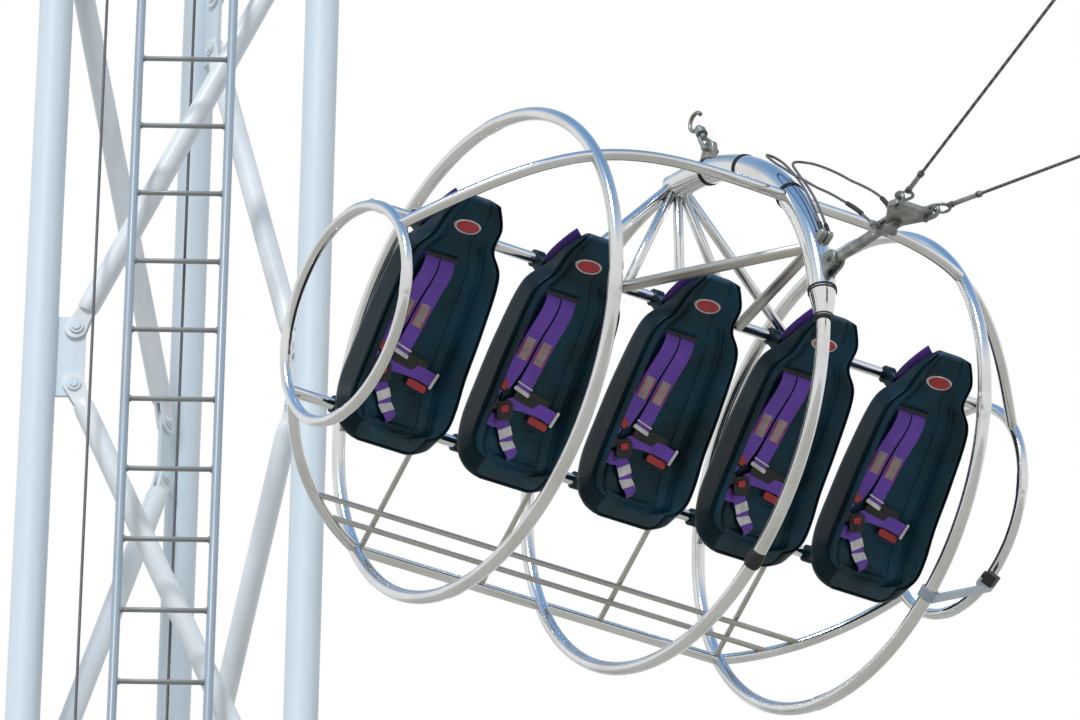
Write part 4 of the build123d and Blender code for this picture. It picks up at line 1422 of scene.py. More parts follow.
@dataclass
class Harness:
    """Slack shoulder, lap and crotch straps of each seat, with patches, adjusters and buckle.

    A route lists places on the seat line, each with its shift across the seat and its height.
    """

    line: SeatLine
    palette: Palette
    steps: int = 44
    thick: float = 0.003
    edge: float = 0.002
    selvedge: float = 0.005
    weave: float = 0.75
    plate_ease: float = 0.001
    shoulder_width: float = 0.062
    lap_width: float = 0.050
    crotch_width: float = 0.058
    tail_width: float = 0.048
    left_shoulder: tuple = ((2.93, 0.066, -0.012), (3.10, 0.068, 0.011), (3.80, 0.085, 0.013),
                            (4.30, 0.100, 0.018), (4.84, 0.134, 0.030))
    right_shoulder: tuple = ((2.93, 0.001, -0.012), (3.10, 0.002, 0.011), (3.80, 0.015, 0.014),
                             (4.30, 0.030, 0.020), (4.88, 0.054, 0.032))
    left_lap: tuple = ((4.95, 0.186, 0.084), (5.20, 0.184, 0.066), (5.50, 0.176, 0.046),
                       (5.76, 0.158, 0.030), (5.82, 0.132, 0.026), (5.60, 0.110, 0.027))
    right_lap: tuple = ((5.30, 0.082, 0.026), (5.18, 0.030, 0.027), (5.20, -0.040, 0.030),
                        (5.30, -0.112, 0.040))
    crotch: tuple = ((7.02, 0.000, -0.010), (6.88, 0.010, 0.011), (6.50, 0.036, 0.014),
                     (6.10, 0.056, 0.016), (5.78, 0.084, 0.021), (5.55, 0.102, 0.026))
    tail: tuple = ((2.30, 0.090, -0.092), (1.85, 0.110, -0.076), (1.55, 0.116, -0.062),
                   (0.97, 0.106, -0.052), (0.27, 0.074, -0.048))
    shoulder_label: tuple = (
        Fitting(Trim.RED, 0.57, (0.048, 0.100, 0.0012), lift=0.0020),
        Fitting(Trim.LABEL, 0.57, (0.038, 0.090, 0.0012), lift=0.0030),
        Fitting(Trim.LABEL, 0.57, (0.022, 0.070, 0.0010), 0.002, lift=0.0038),
    )
    shoulder_loop: tuple = (Fitting(Trim.RED, 1.0, (0.040, 0.034, 0.006), 0.010, lift=0.002),)
    shoulder_adjuster: tuple = (
        Fitting(Trim.METAL, 1.0, (0.074, 0.016, 0.007), 0.005),
        Fitting(Trim.METAL, 0.93, (0.074, 0.006, 0.005), 0.002, lift=0.003),
    )
    lap_adjuster: tuple = (
        Fitting(Trim.METAL, 1.0, (0.066, 0.012, 0.007)),
        Fitting(Trim.METAL, 0.96, (0.066, 0.005, 0.005), 0.002, lift=0.003),
    )
    crotch_patches: tuple = (
        Fitting(Trim.PATCH, 0.36, (0.058, 0.036, 0.0014), 0.002, lift=0.0022),
        Fitting(Trim.PATCH, 0.62, (0.058, 0.036, 0.0014), 0.002, lift=0.0022),
    )
    lap_tongue: Fitting = Fitting(Trim.RED, (5.55, -0.058, 0.026), (0.086, 0.028, 0.007), 0.010,
                                  turn=-0.18)
    lap_pad: Fitting = Fitting(Trim.BLACK, (5.00, 0.000, 0.024), (0.150, 0.054, 0.012), 0.014,
                               turn=-0.16)
    lap_guide: Fitting = Fitting(Trim.BLACK, (5.36, 0.158, 0.034), (0.058, 0.050, 0.012), 0.014,
                                 turn=0.6)
    slot_trim: Fitting = Fitting(Trim.BLACK, (2.96, 0.034, 0.004), (0.146, 0.012, 0.010), 0.005)
    buckle: Fitting = Fitting(Trim.BLACK, (5.46, 0.098, 0.034), (0.066, 0.072, 0.020), 0.018,
                              turn=0.3)
    button: Fitting = Fitting(Trim.RED, (5.40, 0.104, 0.045), (0.032, 0.026, 0.008), 0.009,
                              turn=0.3)

    def strap(self, route: Sequence[Point], y: float) -> tuple[np.ndarray, np.ndarray, np.ndarray]:
        """Follows one strap of a seat.

        Args:
            route: the places that it runs through.
            y: middle of the seat along the row.

        Returns:
            Its points, its directions and its outward normals, one a row.
        """
        places = natural_curve(np.array(route), self.steps)
        points = np.array([self.line.point(*place, y) for place in places])
        ahead = np.gradient(points, axis=0)
        ahead /= np.linalg.norm(ahead, axis=1)[:, None]
        up = np.array([self.line.normal(place[0]) for place in places])
        up -= ahead * np.sum(up * ahead, axis=1)[:, None]
        return points, ahead, up / np.linalg.norm(up, axis=1)[:, None]

    def ribbon(self, stock: Stock, strap: tuple, width: float) -> None:
        """Adds one flat strap with raised selvedges.

        Args:
            stock: where the webbing is collected.
            strap: its points, directions and normals.
            width: its width.
        """
        points, ahead, up = strap
        w, h = width / 2, self.thick / 2
        edge, weave = w - self.edge, h * self.weave
        rim = ((-w, 0), (-edge, h), (self.selvedge - w, weave), (w - self.selvedge, weave),
               (edge, h), (w, 0), (edge, -h), (-edge, -h))
        verts = [p + c * a + n * b
                 for p, c, n in zip(points, np.cross(ahead, up), up) for a, b in rim]
        stock.add(np.array(verts), skin(len(points), len(rim)))

    def on_strap(self, stock: Stock, strap: tuple, fitting: Fitting) -> None:
        """Adds a fitting that lies on a strap.

        Args:
            stock: where its kind of trim is collected.
            strap: the strap's points, directions and normals.
            fitting: the fitting, placed by a share of the strap's length.
        """
        points, ahead, up = strap
        wide, long, thick = fitting.size
        k = min(int(fitting.place * len(points)), len(points) - 1)
        stock.plate(rounded_outline(wide, long, fitting.corner), points[k] + up[k] * fitting.lift,
                    np.cross(ahead[k], up[k]), ahead[k], thick, self.plate_ease)

    def on_seat(self, stock: Stock, y: float, fitting: Fitting) -> None:
        """Adds a fitting that lies on the seat, turned in the seat's surface.

        Args:
            stock: where its kind of trim is collected.
            y: middle of the seat along the row.
            fitting: the fitting, placed on the seat line.
        """
        across, down = np.array([0.0, -1.0, 0.0]), self.line.down(fitting.place[0])
        c, s = math.cos(fitting.turn), math.sin(fitting.turn)
        wide, long, thick = fitting.size
        stock.plate(rounded_outline(wide, long, fitting.corner), self.line.point(*fitting.place, y),
                    across * c + down * s, down * c - across * s, thick, self.plate_ease)

    def seat(self, number: int, y: float) -> None:
        """Makes the whole harness of one seat.

        Args:
            number: the seat's number, from 1.
            y: middle of the seat along the row.
        """
        finishes = {Trim.LABEL: (self.palette.label, Slot.WEBBING),
                    Trim.PATCH: (self.palette.white, Slot.WEBBING),
                    Trim.RED: (self.palette.red, Slot.WEBBING),
                    Trim.METAL: (self.palette.buckle, Slot.HARDWARE),
                    Trim.BLACK: (self.palette.rubber, Slot.SHELL)}
        webbing, trims = Stock(), {trim: Stock() for trim in Trim}
        shoulder = self.shoulder_width
        for route, width, fittings in (
                (self.left_shoulder, shoulder, self.shoulder_label + self.shoulder_loop),
                (self.right_shoulder, shoulder, self.shoulder_label + self.shoulder_adjuster),
                (self.left_lap, self.lap_width, ()),
                (self.right_lap, self.lap_width, self.lap_adjuster),
                (self.crotch, self.crotch_width, self.crotch_patches),
                (self.tail, self.tail_width, ())):
            strap = self.strap(route, y)
            self.ribbon(webbing, strap, width)
            for fitting in fittings:
                self.on_strap(trims[fitting.trim], strap, fitting)
        for fitting in (self.lap_tongue, self.lap_pad, self.lap_guide, self.slot_trim, self.buckle,
                        self.button):
            self.on_seat(trims[fitting.trim], y, fitting)
        settle(webbing.build(f"straps_{number}", self.palette.webbing), Body.GONDOLA,
               Slot.WEBBING, f"harness_{number}")
        for trim, stock in trims.items():
            finish, slot = finishes[trim]
            settle(stock.build(f"harness_{trim.value}_{number}", finish), Body.GONDOLA, slot)

    def build(self, places: Sequence[float]) -> None:
        """Makes the harness of every seat."""
        for k, y in enumerate(places, 1):
            self.seat(k, y)


# Masts


@dataclass
class Mast:
    """Braces, pins, bolts and finishes of one three-legged lattice mast."""

    name: str
    centre: tuple[float, float]
    facing_deg: float
    panels: int
    palette: Palette
    face_width: float = 1.105
    leg: float = 0.1397
    panel: float = 2.050
    first_node: float = 0.540
    brace: float = 0.04445
    taper: float = 0.045
    taper_swell: tuple = (0.80, 0.93)
    taper_start: float = 0.3
    gusset_thick: float = 0.016
    pin_offset: float = 0.145
    pin_rise: float = 0.131
    fork_gap: float = 0.0003
    fork_thick: float = 0.012
    fork_width: float = 0.090
    fork_length: float = 0.150
    fork_reach: float = 0.052
    fork_inset: float = 0.084
    fork_neck: float = 0.72
    pin: float = 0.018
    pin_head: float = 0.012
    boss: float = 0.030
    boss_thick: float = 0.007
    base_thick: float = 0.030
    bolt_circle: float = 0.800
    bolts: int = 12
    stud: float = 0.015
    stud_height: float = 0.070
    washer: tuple = (0.030, 0.0, 0.004)
    nuts: tuple = ((0.026, 0.004, 0.028), (0.026, 0.029, 0.044))

    def point(self, turn: float, side: float, out: float, z: float) -> np.ndarray:
        """Point in front of one of the mast's faces.

        Args:
            turn: turn of the face from the ladder's face, in degrees.
            side: how far beside the face's middle.
            out: how far from the mast's axis.
            z: height.

        Returns:
            The point in the ride's frame.
        """
        f = math.radians(self.facing_deg + turn)
        return np.array([self.centre[0] + out * math.cos(f) - side * math.sin(f),
                         self.centre[1] + out * math.sin(f) + side * math.cos(f), z])

    @property
    def face_out(self) -> float:
        """Distance of a face's plane from the mast's axis."""
        return self.face_width / (2 * math.sqrt(3))

    def fork(self, stock: Stock, pins: Stock, end: np.ndarray, toward: np.ndarray,
             out: np.ndarray) -> None:
        """Adds the forked end of one brace, with its pin and the pin's bosses.

        Args:
            stock: where the tubes and forks are collected.
            pins: where the pins are collected.
            end: middle of the pin.
            toward: direction from the pin along the brace.
            out: direction out of the mast's face.
        """
        level = self.gusset_thick / 2 + self.fork_gap + self.fork_thick / 2
        cheek_end = level + self.fork_thick / 2
        half, foot = self.fork_width / 2, self.fork_length - self.fork_reach
        outline = [(-half * math.cos(t) - self.fork_reach + half, half * math.sin(t))
                   for t in np.linspace(math.pi / 2, -math.pi / 2, 13)]
        outline += [(foot, -half * self.fork_neck), (foot, half * self.fork_neck)]
        for offset in (-level, level):
            stock.plate(outline, end + out * offset, toward, np.cross(out, toward),
                        self.fork_thick, 0.002)
        head = out * (cheek_end + self.pin_head)
        pins.bar(end - head, end + head, self.pin, 16)
        for side in (-out, out):
            pins.bar(end + side * cheek_end, end + side * (cheek_end + self.boss_thick),
                     self.boss, 20)

    def braces(self, turn: float, label: str) -> None:
        """Makes the zigzag of one face.

        Args:
            turn: turn of the face from the ladder's face, in degrees.
            label: end of the name of the solid that it stands for.
        """
        stock, pins = Stock(), Stock()
        reach = self.face_width / 2 - self.pin_offset
        out = self.point(turn, 0, 1, 0) - self.point(turn, 0, 0, 0)
        slim, slimmer = (self.brace * k for k in self.taper_swell[::-1])
        for k in range(self.panels):
            side = 1 if k % 2 else -1
            low = self.first_node + k * self.panel
            foot = self.point(turn, side * reach, self.face_out, low + self.pin_rise)
            top = self.point(turn, -side * reach, self.face_out, low + self.panel - self.pin_rise)
            run = (top - foot) / np.linalg.norm(top - foot)
            a, b = foot + run * self.fork_inset, top - run * self.fork_inset
            taper = run * self.taper
            start = taper * self.taper_start
            stock.tube([a, a + start, a + taper, b - taper, b - start, b],
                       [slimmer, slim, self.brace, self.brace, slim, slimmer], 26)
            self.fork(stock, pins, foot, run, out)
            self.fork(stock, pins, top, -run, out)
        settle(stock.build(f"{self.name}_{label}_tubes", self.palette.brace), Body.FRAME,
               Slot.MAST, f"{self.name}_{label}")
        settle(pins.build(f"{self.name}_{label}_pins", self.palette.mast), Body.FRAME, Slot.MAST)

    def anchors(self) -> None:
        """Makes the studs, washers and nuts that hold the base plate down."""
        stock, top = Stock(), self.base_thick
        for k in range(self.bolts):
            a = 2 * math.pi * k / self.bolts
            x = self.centre[0] + self.bolt_circle * math.cos(a)
            y = self.centre[1] + self.bolt_circle * math.sin(a)
            stock.bar((x, y, 0.001), (x, y, top + self.stud_height), self.stud, 16)
            for (radius, low, high), sides in ((self.washer, 24), *((nut, 6) for nut in self.nuts)):
                stock.bar((x, y, top + low), (x, y, top + high), radius, sides)
        settle(stock.build(f"{self.name}_anchor_bolts", self.palette.gear), Body.FRAME,
               Slot.HARDWARE)

    def build(self) -> None:
        """Makes the three braced faces and the base bolts."""
        for turn, label in ((0, "face_braces"), (120, "right_braces"), (240, "left_braces")):
            self.braces(turn, label)
        self.anchors()


@dataclass
class Ladder:
    """Ladder, stays and ropes of the launch mast."""

    mast: Mast
    palette: Palette
    top: float = 21.660
    width: float = 0.380
    rail: float = 0.019
    rung: float = 0.0105
    pitch: float = 0.315
    first: float = 0.290
    weld: float = 0.006
    weld_swell: float = 1.35
    standoff: float = 0.080
    stay_levels: tuple = (1, 4, 6, 9)
    stay_height: float = 0.050
    stay_thick: float = 0.008
    stay_corner: float = 0.008
    stay_bar: float = 0.014
    stay_hold: float = 0.6
    collar_half: float = 0.030
    collar_swell: float = 1.22
    ropes: tuple = ((-0.335, 0.445), (0.010, 0.090))
    rope: float = 0.006

    @property
    def out(self) -> float:
        """Distance of the ladder's plane from the mast's axis."""
        return self.mast.face_out + self.mast.leg / 2 + self.standoff + self.rail

    def upright(self, side: int, z: float) -> np.ndarray:
        """Point on the middle line of one side rail."""
        return self.mast.point(0, side * self.width / 2, self.out, z)

    def rails(self) -> None:
        """Makes the side rails with the stays that hold them to the legs."""
        mast, stock = self.mast, Stock()
        for side in (-1, 1):
            stock.bar(self.upright(side, mast.base_thick), self.upright(side, self.top),
                      self.rail, 22)
        stay_out = mast.face_out + mast.leg / 2 + mast.fork_gap + self.stay_thick / 2
        across = mast.point(0, 1, 0, 0) - mast.point(0, 0, 0, 0)
        for level in self.stay_levels:
            z = mast.first_node + (level + 0.5) * mast.panel
            stock.plate(rounded_outline(mast.face_width, self.stay_height,
                                        self.stay_corner),
                        mast.point(0, 0, stay_out, z), across, (0, 0, 1), self.stay_thick)
            for side in (-1, 1):
                beside = side * self.width / 2
                stock.bar(mast.point(0, beside, stay_out, z),
                          mast.point(0, beside, self.out - self.rail * self.stay_hold, z),
                          self.stay_bar, 16)
                stock.bar(self.upright(side, z - self.collar_half),
                          self.upright(side, z + self.collar_half),
                          self.rail * self.collar_swell, 22)
        settle(stock.build("ladder_rails", self.palette.ladder), Body.FRAME, Slot.LADDER,
               "rear_mast_ladder")

    def rungs(self) -> None:
        """Makes the rungs with the weld beads at their ends."""
        mast, stock = self.mast, Stock()
        edge = self.width / 2 - self.rail
        for k in range(int((self.top - self.first) // self.pitch)):
            z = self.first + k * self.pitch
            stock.bar(self.upright(-1, z), self.upright(1, z), self.rung, 16)
            for side in (-1, 1):
                stock.bar(mast.point(0, side * edge, self.out, z),
                          mast.point(0, side * (edge - self.weld), self.out, z),
                          self.rung * self.weld_swell, 16)
        settle(stock.build("ladder_rungs", self.palette.rung), Body.FRAME, Slot.LADDER)

    def lines(self) -> None:
        """Makes the two taut ropes beside the ladder."""
        stock = Stock()
        for side, out in self.ropes:
            stock.bar(self.mast.point(0, side, out, self.mast.base_thick),
                      self.mast.point(0, side, out, self.top), self.rope, 14)
        settle(stock.build("mast_ropes", self.palette.wire), Body.FRAME, Slot.ROPE,
               "rear_mast_ropes")

    def build(self) -> None:
        """Makes the ladder and the ropes beside it."""
        self.rails()
        self.rungs()
        self.lines()


# Rigging


@dataclass
class Rigging:
    """Lugs, swing cables with their end fittings, and the two safety slings.

    A sling's route is a list of places in the gondola's own axes.
    """

    gondola: GondolaFrame
    palette: Palette
    hoops: Hoops
    swing: tuple = (14.950, 0.0, 15.555)
    anchor_y: float = 2.900
    lug_deg: float = 20.0
    rear_lug_deg: float = -45.4
    lug_stand: float = 0.038
    lug_thick: float = 0.012
    lug_gap: float = 0.0136
    lug_radius: float = 0.035
    lug_foot: tuple = ((0.030, 1.5), (0.052, 1.12))
    link_length: float = 0.375
    yoke_reach: float = 0.095
    yoke_spread: float = 0.062
    bow_inside: float = 0.048
    bow_gap: float = 0.0003
    thimble: float = 0.030
    thimble_bar: float = 0.006
    ferrule: float = 0.012
    ferrule_length: float = 0.150
    ferrule_slim: float = 0.75
    ferrule_ring: float = 0.018
    ring_places: tuple = (0.004, 0.128)
    socket: float = 0.020
    socket_length: float = 0.170
    socket_bite: float = 0.008
    socket_steps: tuple = ((0.0, 0.50), (0.01, 0.62), (0.09, 0.72), (0.11, 1.0))
    rope_hold: float = 0.020
    hub: float = 0.065
    hub_half: float = 0.045
    hub_inside: float = 0.0353
    hub_ease: float = 0.003
    hub_flat: float = 0.93
    rope: float = 0.006
    bracket_deg: float = 12.4
    bracket_rise: float = 0.022
    bracket: tuple = (0.030, 0.056, 0.030)
    bracket_plate: float = 0.022
    bracket_foot: tuple = (0.035, 1.4)
    bracket_lean: float = 0.2
    sling: float = 0.005
    sling_side: float = 0.014
    sleeve: float = 0.0088
    first_sleeve: tuple = (0.0, 0.050)
    last_sleeve: tuple = (-0.190, -0.070)
    left_route: tuple = (
        (0.2915, -0.0140, 1.0560), (0.1700, -0.0160, 1.0770), (0.0300, -0.0140, 1.0810),
        (-0.1000, -0.0170, 1.0670), (-0.1960, -0.0160, 1.0460), (-0.1990, -0.0860, 1.0480),
        (-0.1120, -0.0840, 1.0660), (-0.0400, -0.0820, 1.0900), (0.0380, -0.0800, 1.1120),
        (0.1150, -0.0760, 1.1410), (0.2000, -0.0720, 1.1680), (0.2850, -0.0660, 1.2030),
        (0.3850, -0.0580, 1.2350), (0.4930, -0.0500, 1.2680), (0.5827, -0.0449, 1.2813),
    )
    right_route: tuple = (
        (0.2915, 0.0140, 1.0560), (0.1680, 0.0160, 1.0750), (0.0340, 0.0140, 1.0790),
        (-0.0900, 0.0150, 1.0660), (-0.1760, 0.0160, 1.0620), (-0.1760, 0.0880, 1.0820),
        (-0.0680, 0.0850, 1.1330), (0.0620, 0.0800, 1.1850), (0.1400, 0.0770, 1.2110),
        (0.2090, 0.0740, 1.2400), (0.3250, 0.0660, 1.2830), (0.4050, 0.0580, 1.3060),
        (0.5060, 0.0500, 1.3210), (0.5837, 0.0450, 1.2897),
    )

    @property
    def lug_out(self) -> float:
        """How far a lug's pin lies outside the arch's middle line."""
        return self.hoops.arch_tube + self.lug_stand

    def lugs(self) -> None:
        """Makes the lug plates and the sling bracket that are welded to the arch."""
        stock, h, r = Stock(), self.hoops, self.lug_radius
        cheek = self.lug_gap + self.lug_thick / 2
        for angle, levels, thick in ((self.lug_deg, (-cheek, cheek), self.lug_thick),
                                     (self.rear_lug_deg, (0.0,), 2 * self.lug_thick)):
            root, tip = h.over_centre(angle), h.over_centre(angle, self.lug_out)
            run = np.linalg.norm(tip - root)
            outline = [(rise, -r * swell) for rise, swell in self.lug_foot]
            outline += [(run + r * math.sin(t), -r * math.cos(t))
                        for t in np.linspace(0, math.pi, 15)]
            outline += [(rise, r * swell) for rise, swell in self.lug_foot[::-1]]
            self.on_arch(stock, root, tip, outline, levels, thick)
        root, tip = (h.over_centre(self.bracket_deg, rise) for rise in (0.0, 1.0))
        half = self.bracket[0] / 2
        top = h.arch_tube + self.bracket_rise + self.bracket[2] / 2 - half
        (foot, swell), lean = self.bracket_foot, self.bracket_lean
        outline = [(foot, -half * swell), (top, -half)]
        outline += [(top + half * math.sin(t), -half * math.cos(t))
                    for t in np.linspace(lean, math.pi - lean, 9)]
        outline += [(top, half), (foot, half * swell)]
        self.on_arch(stock, root, tip, outline, (-self.sling_side, self.sling_side),
                     self.bracket_plate)
        settle(stock.build("arch_lugs", self.palette.gear), Body.GONDOLA, Slot.HARDWARE)

    def on_arch(self, stock: Stock, root: np.ndarray, tip: np.ndarray, outline: Sequence[Point],
                levels: Sequence[float], thick: float) -> None:
        """Adds plates that stand upright on the arch, side by side.

        Args:
            stock: where they are collected.
            root: point of the arch's middle line.
            tip: any point straight out from it.
            outline: corners, as distances out and forward.
            levels: places of the plates across the arch.
            thick: thickness of each plate.
        """
        way = (tip - root) / np.linalg.norm(tip - root)
        side = np.cross((0.0, 1.0, 0.0), way)
        for level in levels:
            stock.plate(outline, root + np.array((0.0, level, 0.0)), way, side, thick, 0.002)

    def line(self, side: int) -> tuple[np.ndarray, np.ndarray, np.ndarray, np.ndarray]:
        """Where one swing cable runs.

        Args:
            side: -1 for the left cable, 1 for the right one.

        Returns:
            The thimble's middle, the anchor, and the directions along and across the cable.
        """
        pin = self.hoops.over_centre(self.lug_deg, self.lug_out)
        way = np.array(self.swing) - pin
        way = way / np.linalg.norm(way)
        yoke = pin + way * self.link_length
        hole = yoke + way * self.yoke_reach + np.array((0.0, side * self.yoke_spread, 0.0))
        anchor = np.array([self.swing[0], side * self.anchor_y, self.swing[2]])
        along = (anchor - hole) / np.linalg.norm(anchor - hole)
        across = np.cross(along, np.cross(way, (0.0, 1.0, 0.0)))
        across = across / np.linalg.norm(across)
        reach = self.bow_inside - self.thimble_bar - self.bow_gap + self.thimble
        return hole + along * reach, anchor, along, across

    def hub_ring(self, stock: Stock, anchor: np.ndarray) -> None:
        """Adds the bushed ring that turns on one anchor pin.

        Args:
            stock: where the fittings are collected.
            anchor: middle of the pin.
        """
        rim = self.hub - self.hub_ease
        profile = ((self.hub_inside, -1.0), (rim, -1.0), (self.hub, -self.hub_flat),
                   (self.hub, self.hub_flat), (rim, 1.0), (self.hub_inside, 1.0))
        turn = np.linspace(0, 2 * math.pi, 48, endpoint=False)
        rings = [[anchor + (radius * math.cos(a), level * self.hub_half, radius * math.sin(a))
                  for a in turn] for radius, level in profile]
        stock.add(np.concatenate(rings), skin(len(rings), len(turn), capped=False))

    def cable(self, side: int, label: str) -> None:
        """Makes one swing cable with the fittings at its ends.

        Args:
            side: -1 for the left cable, 1 for the right one.
            label: start of its pieces' names.
        """
        eye, anchor, along, across = self.line(side)
        rope, fittings = Stock(), Stock()
        sleeve = eye + along * self.thimble
        base = anchor - along * (self.hub + self.socket_length)
        rope.tube(np.linspace(sleeve + along * (self.ferrule_length - self.rope_hold),
                              base + along * self.rope_hold, 60), self.rope, 16)
        for low in self.ring_places:
            rope.bar(sleeve + along * low, sleeve + along * (low + self.ferrule_ring),
                     self.ferrule, 20)
        loop = [eye + (along * math.cos(a) + across * math.sin(a)) * self.thimble
                for a in np.linspace(0, 2 * math.pi, 48, endpoint=False)]
        fittings.tube(loop, self.thimble_bar, 16, closed=True)
        fittings.bar(sleeve, sleeve + along * self.ferrule_length,
                     self.ferrule * self.ferrule_slim, 24)
        fittings.tube([*(base + along * run for run, _ in self.socket_steps),
                       anchor - along * (self.hub - self.socket_bite)],
                      [*(self.socket * swell for _, swell in self.socket_steps), self.socket], 24)
        self.hub_ring(fittings, anchor)
        settle(rope.build(f"{label}_cable_rope", self.palette.wire), Body.GONDOLA, Slot.ROPE,
               f"{label}_swing_cable")
        settle(fittings.build(f"{label}_cable_fittings", self.palette.gear), Body.GONDOLA,
               Slot.HARDWARE)

    def sling_curve(self, label: str,
                    route: Sequence[Point]) -> tuple[bpy.types.Object, np.ndarray]:
        """Makes one safety sling as a curve through its route.

        Args:
            label: start of its name.
            route: its places in the gondola's own axes.

        Returns:
            The sling and the points of its middle line.
        """
        curve = bpy.data.curves.new(f"{label}_sling_line", "CURVE")
        curve.dimensions = "3D"
        spline = curve.splines.new("NURBS")
        spline.points.add(len(route) - 1)
        for point, place in zip(spline.points, route):
            point.co = (*map(float, self.gondola.at(*place)), 1.0)
        spline.order_u = 3
        spline.use_endpoint_u = True
        spline.resolution_u = curve.resolution_u = 16
        sling = bpy.data.objects.new(f"{label}_sling", curve)
        bpy.context.scene.collection.objects.link(sling)
        bpy.context.view_layer.update()
        # The line is measured while the curve is still bare.
        line = np.array([v.co[:] for v in bpy.data.meshes.new_from_object(sling).vertices])
        curve.bevel_depth = self.sling
        curve.bevel_resolution = 5
        curve.materials.append(self.palette.wire)
        return sling, line

    def sling_with_sleeves(self, label: str, route: Sequence[Point]) -> None:
        """Makes one safety sling and its black sleeves.

        Args:
            label: start of its pieces' names.
            route: its places in the gondola's own axes.
        """
        sling, line = self.sling_curve(label, route)
        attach(sling, Body.GONDOLA.value)
        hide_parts(f"sling_{label}")
        run = np.concatenate([[0], np.cumsum(np.linalg.norm(np.diff(line, axis=0), axis=1))])
        length = float(run[-1])
        ends = Stock()
        for low, high in (self.first_sleeve, (length + self.last_sleeve[0],
                                              length + self.last_sleeve[1])):
            ends.tube(line[(run >= low) & (run <= high)], self.sleeve, 18)
        sleeves = settle(ends.build(f"{label}_sling_sleeves", self.palette.rubber), Body.GONDOLA,
                         Slot.HARDWARE)
        tuple(map(float, self.gondola.at(*route[0])))
        log.info("%s sling is %.3f m long", label, length)

    def build(self) -> None:
        """Makes all the rigging."""
        self.lugs()
        for side, label in ((-1, "left"), (1, "right")):
            self.cable(side, label)
        self.sling_with_sleeves("left", self.left_route)
        self.sling_with_sleeves("right", self.right_route)


# Finishes of the kept solids, the studio and the whole


def dress(frame: dict, palette: Palette) -> None:
    """Gives every kept solid its finish by the name of its node.

    Args:
        palette: the finishes.
    """
    rules = (("_legs", palette.mast), ("_base", palette.mast), ("_head", palette.mast),
             ("rear_mast_sheave", palette.gear), ("link_", palette.gear),
             ("yoke_plate", palette.gear), ("cable_shackles", palette.gear),
             ("release_gear", palette.gear), ("camera_arm", palette.ladder),
             ("ride_camera", palette.rubber))
    for name, obj in frame["nodes"].items():
        finish = next((m for key, m in rules if key in name), palette.tube)
        for slot in obj.material_slots:
            slot.material = finish


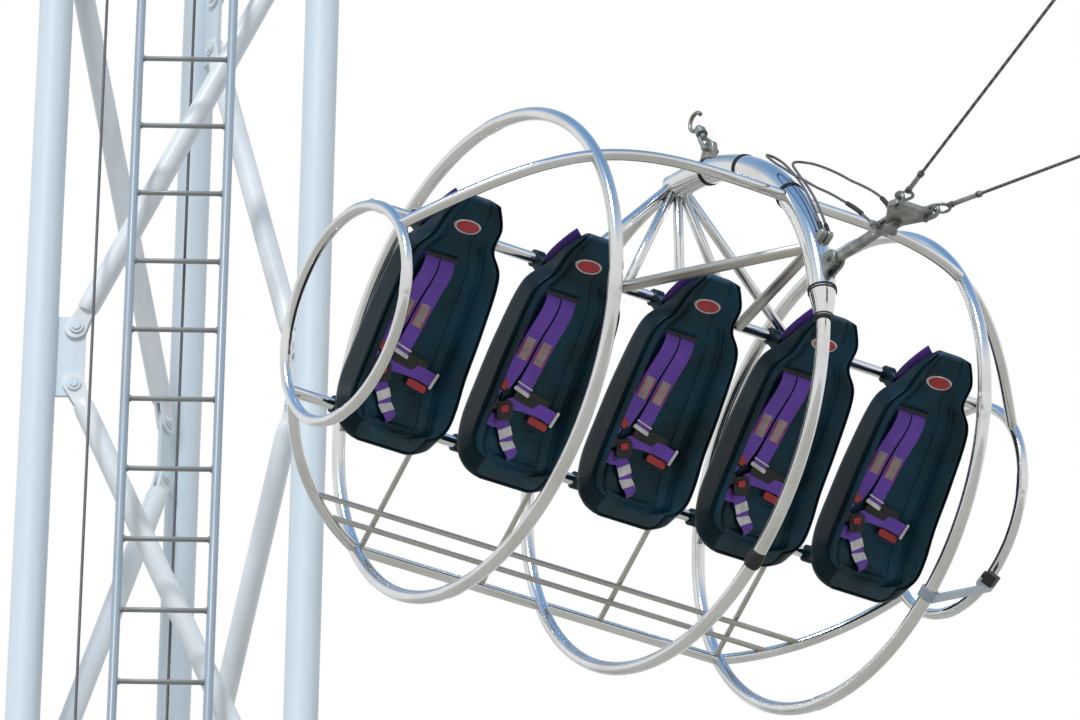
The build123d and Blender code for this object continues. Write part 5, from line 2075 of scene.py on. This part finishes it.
@dataclass
class Studio:
    """Pale floor, soft light and the camera at the photograph's angle."""

    gondola: GondolaFrame
    azimuth_deg: float = 56.45
    elevation_deg: float = -27.5
    roll_deg: float = 0.9
    distance: float = 30.0
    lens: float = 270.6
    sensor: float = 36.0
    shift_right: float = -0.4387
    shift_up: float = 0.1996
    clip: tuple = (0.1, 500.0)
    floor_size: float = 300.0
    floor_x: float = 7.0
    floor_tones: tuple = ((0.52, 0.505, 0.47), (0.49, 0.475, 0.44))
    sun_strength: float = 2.2
    sun_width_deg: float = 12.0
    sun_way: tuple = (-0.35, 0.55, -0.75)
    fill: float = 0.62
    fill_tone: tuple = (0.96, 0.98, 1.0, 1.0)
    backdrop: tuple = ((0.0, (0.60, 0.59, 0.56)), (0.49, (0.62, 0.61, 0.58)),
                       (0.51, (0.92, 0.93, 0.95)), (0.68, (1.0, 1.0, 1.0)),
                       (0.775, (1.0, 1.0, 1.0)), (0.86, (0.46, 0.63, 0.88)),
                       (1.0, (0.20, 0.40, 0.74)))

    def axes(self) -> tuple[Vector, Vector, Vector]:
        """Turns of the camera at the photograph's angle.

        Returns:
            Its right, up and backward directions.
        """
        a, e, r = (math.radians(v) for v in (self.azimuth_deg, self.elevation_deg, self.roll_deg))
        back = Vector((math.sin(a) * math.cos(e), -math.cos(a) * math.cos(e), math.sin(e)))
        right = Vector((math.cos(a), math.sin(a), 0))
        up = back.cross(right)
        return (right * math.cos(r) + up * math.sin(r),
                up * math.cos(r) - right * math.sin(r), back)

    def camera(self) -> None:
        """Places the camera."""
        right, up, back = self.axes()
        place = (Vector(self.gondola.centre) + back * self.distance + right * self.shift_right
                 + up * self.shift_up)
        data = bpy.data.cameras.new("view")
        data.lens, data.sensor_width, data.sensor_fit = self.lens, self.sensor, "HORIZONTAL"
        data.clip_start, data.clip_end = self.clip
        camera = bpy.data.objects.new("view", data)
        turn = Matrix((right, up, back)).transposed().to_4x4()
        camera.matrix_world = Matrix.Translation(place) @ turn
        bpy.context.scene.collection.objects.link(camera)
        bpy.context.scene.camera = camera

    def floor(self) -> None:
        """Lays the plain floor at ground level."""
        half = self.floor_size / 2
        corners = np.array([(self.floor_x + x * half, y * half, 0.0)
                            for x, y in ((-1, -1), (1, -1), (1, 1), (-1, 1))])
        coat = Coat("studio_floor")
        coat.set(Base_Color=coat.blend(*self.floor_tones, coat.noise(0.8)), Roughness=0.8)
        mesh_object("studio_floor", corners, [[0, 1, 2, 3]], coat.material)

    def world(self) -> None:
        """Fills the world with soft light and, for the camera and for what shines, a backdrop.

        The backdrop is pale below the horizon, white to half way up, and open sky above.
        """
        world = bpy.data.worlds.new("studio")
        bpy.context.scene.world = world
        r = Recipe(world)
        r.tree.nodes.clear()
        way = r.wire("ShaderNodeTexCoord", {}, {}, "Generated")
        rise = r.wire("ShaderNodeSeparateXYZ", {}, {0: way}, "Z").clamp(-1.0, 1.0)
        ramp = r.wire("ShaderNodeValToRGB", {"stops": self.backdrop}, {0: rise})
        soft = r.wire("ShaderNodeBackground", {}, {0: self.fill_tone, 1: self.fill})
        backdrop = r.wire("ShaderNodeBackground", {}, {0: ramp, 1: 1.0})
        path = r.node("ShaderNodeLightPath", {}, {})
        camera, glossy, clear = (Wire(r, path.outputs[f"Is {ray} Ray"])
                                 for ray in ("Camera", "Glossy", "Transmission"))
        seen = r.wire("ShaderNodeMixShader", {}, {0: camera | glossy | clear, 1: soft, 2: backdrop})
        r.node("ShaderNodeOutputWorld", {}, {0: seen})

    def sun(self) -> None:
        """Hangs the one soft lamp."""
        data = bpy.data.lights.new("sun", "SUN")
        data.energy, data.angle = self.sun_strength, math.radians(self.sun_width_deg)
        lamp = bpy.data.objects.new("sun", data)
        lamp.rotation_euler = Vector(self.sun_way).to_track_quat("-Z", "Y").to_euler()
        bpy.context.scene.collection.objects.link(lamp)

    def build(self) -> None:
        """Sets up the studio."""
        self.camera()
        self.floor()
        self.world()
        self.sun()
        bpy.context.scene.view_settings.view_transform = "Standard"


def main() -> None:
    """Builds the ride in order."""
    logging.basicConfig(level=logging.INFO, format="%(name)s: %(message)s")
    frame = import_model()
    palette, gondola = Palette(), GondolaFrame()
    dress(frame, palette)
    hoops = Hoops(gondola, palette)
    hoops.build()
    rails = Rails(gondola, palette, hoops)
    rails.build()
    line = SeatLine(gondola)
    seats = Seats(line, palette, rails)
    seats.build()
    Harness(line, palette).build(seats.places())
    launch = Mast("rear_mast", (0.0, 0.0), -33.5, 10, palette)
    launch.build()
    Ladder(launch, palette).build()
    rigging = Rigging(gondola, palette, hoops)
    for name, side in (("left_mast", -1), ("right_mast", 1)):
        Mast(name, (rigging.swing[0], side * 3.900), -90.0 * side, 7, palette).build()
    rigging.build()
    Studio(gondola).build()


if __name__ == "__main__":
    main()
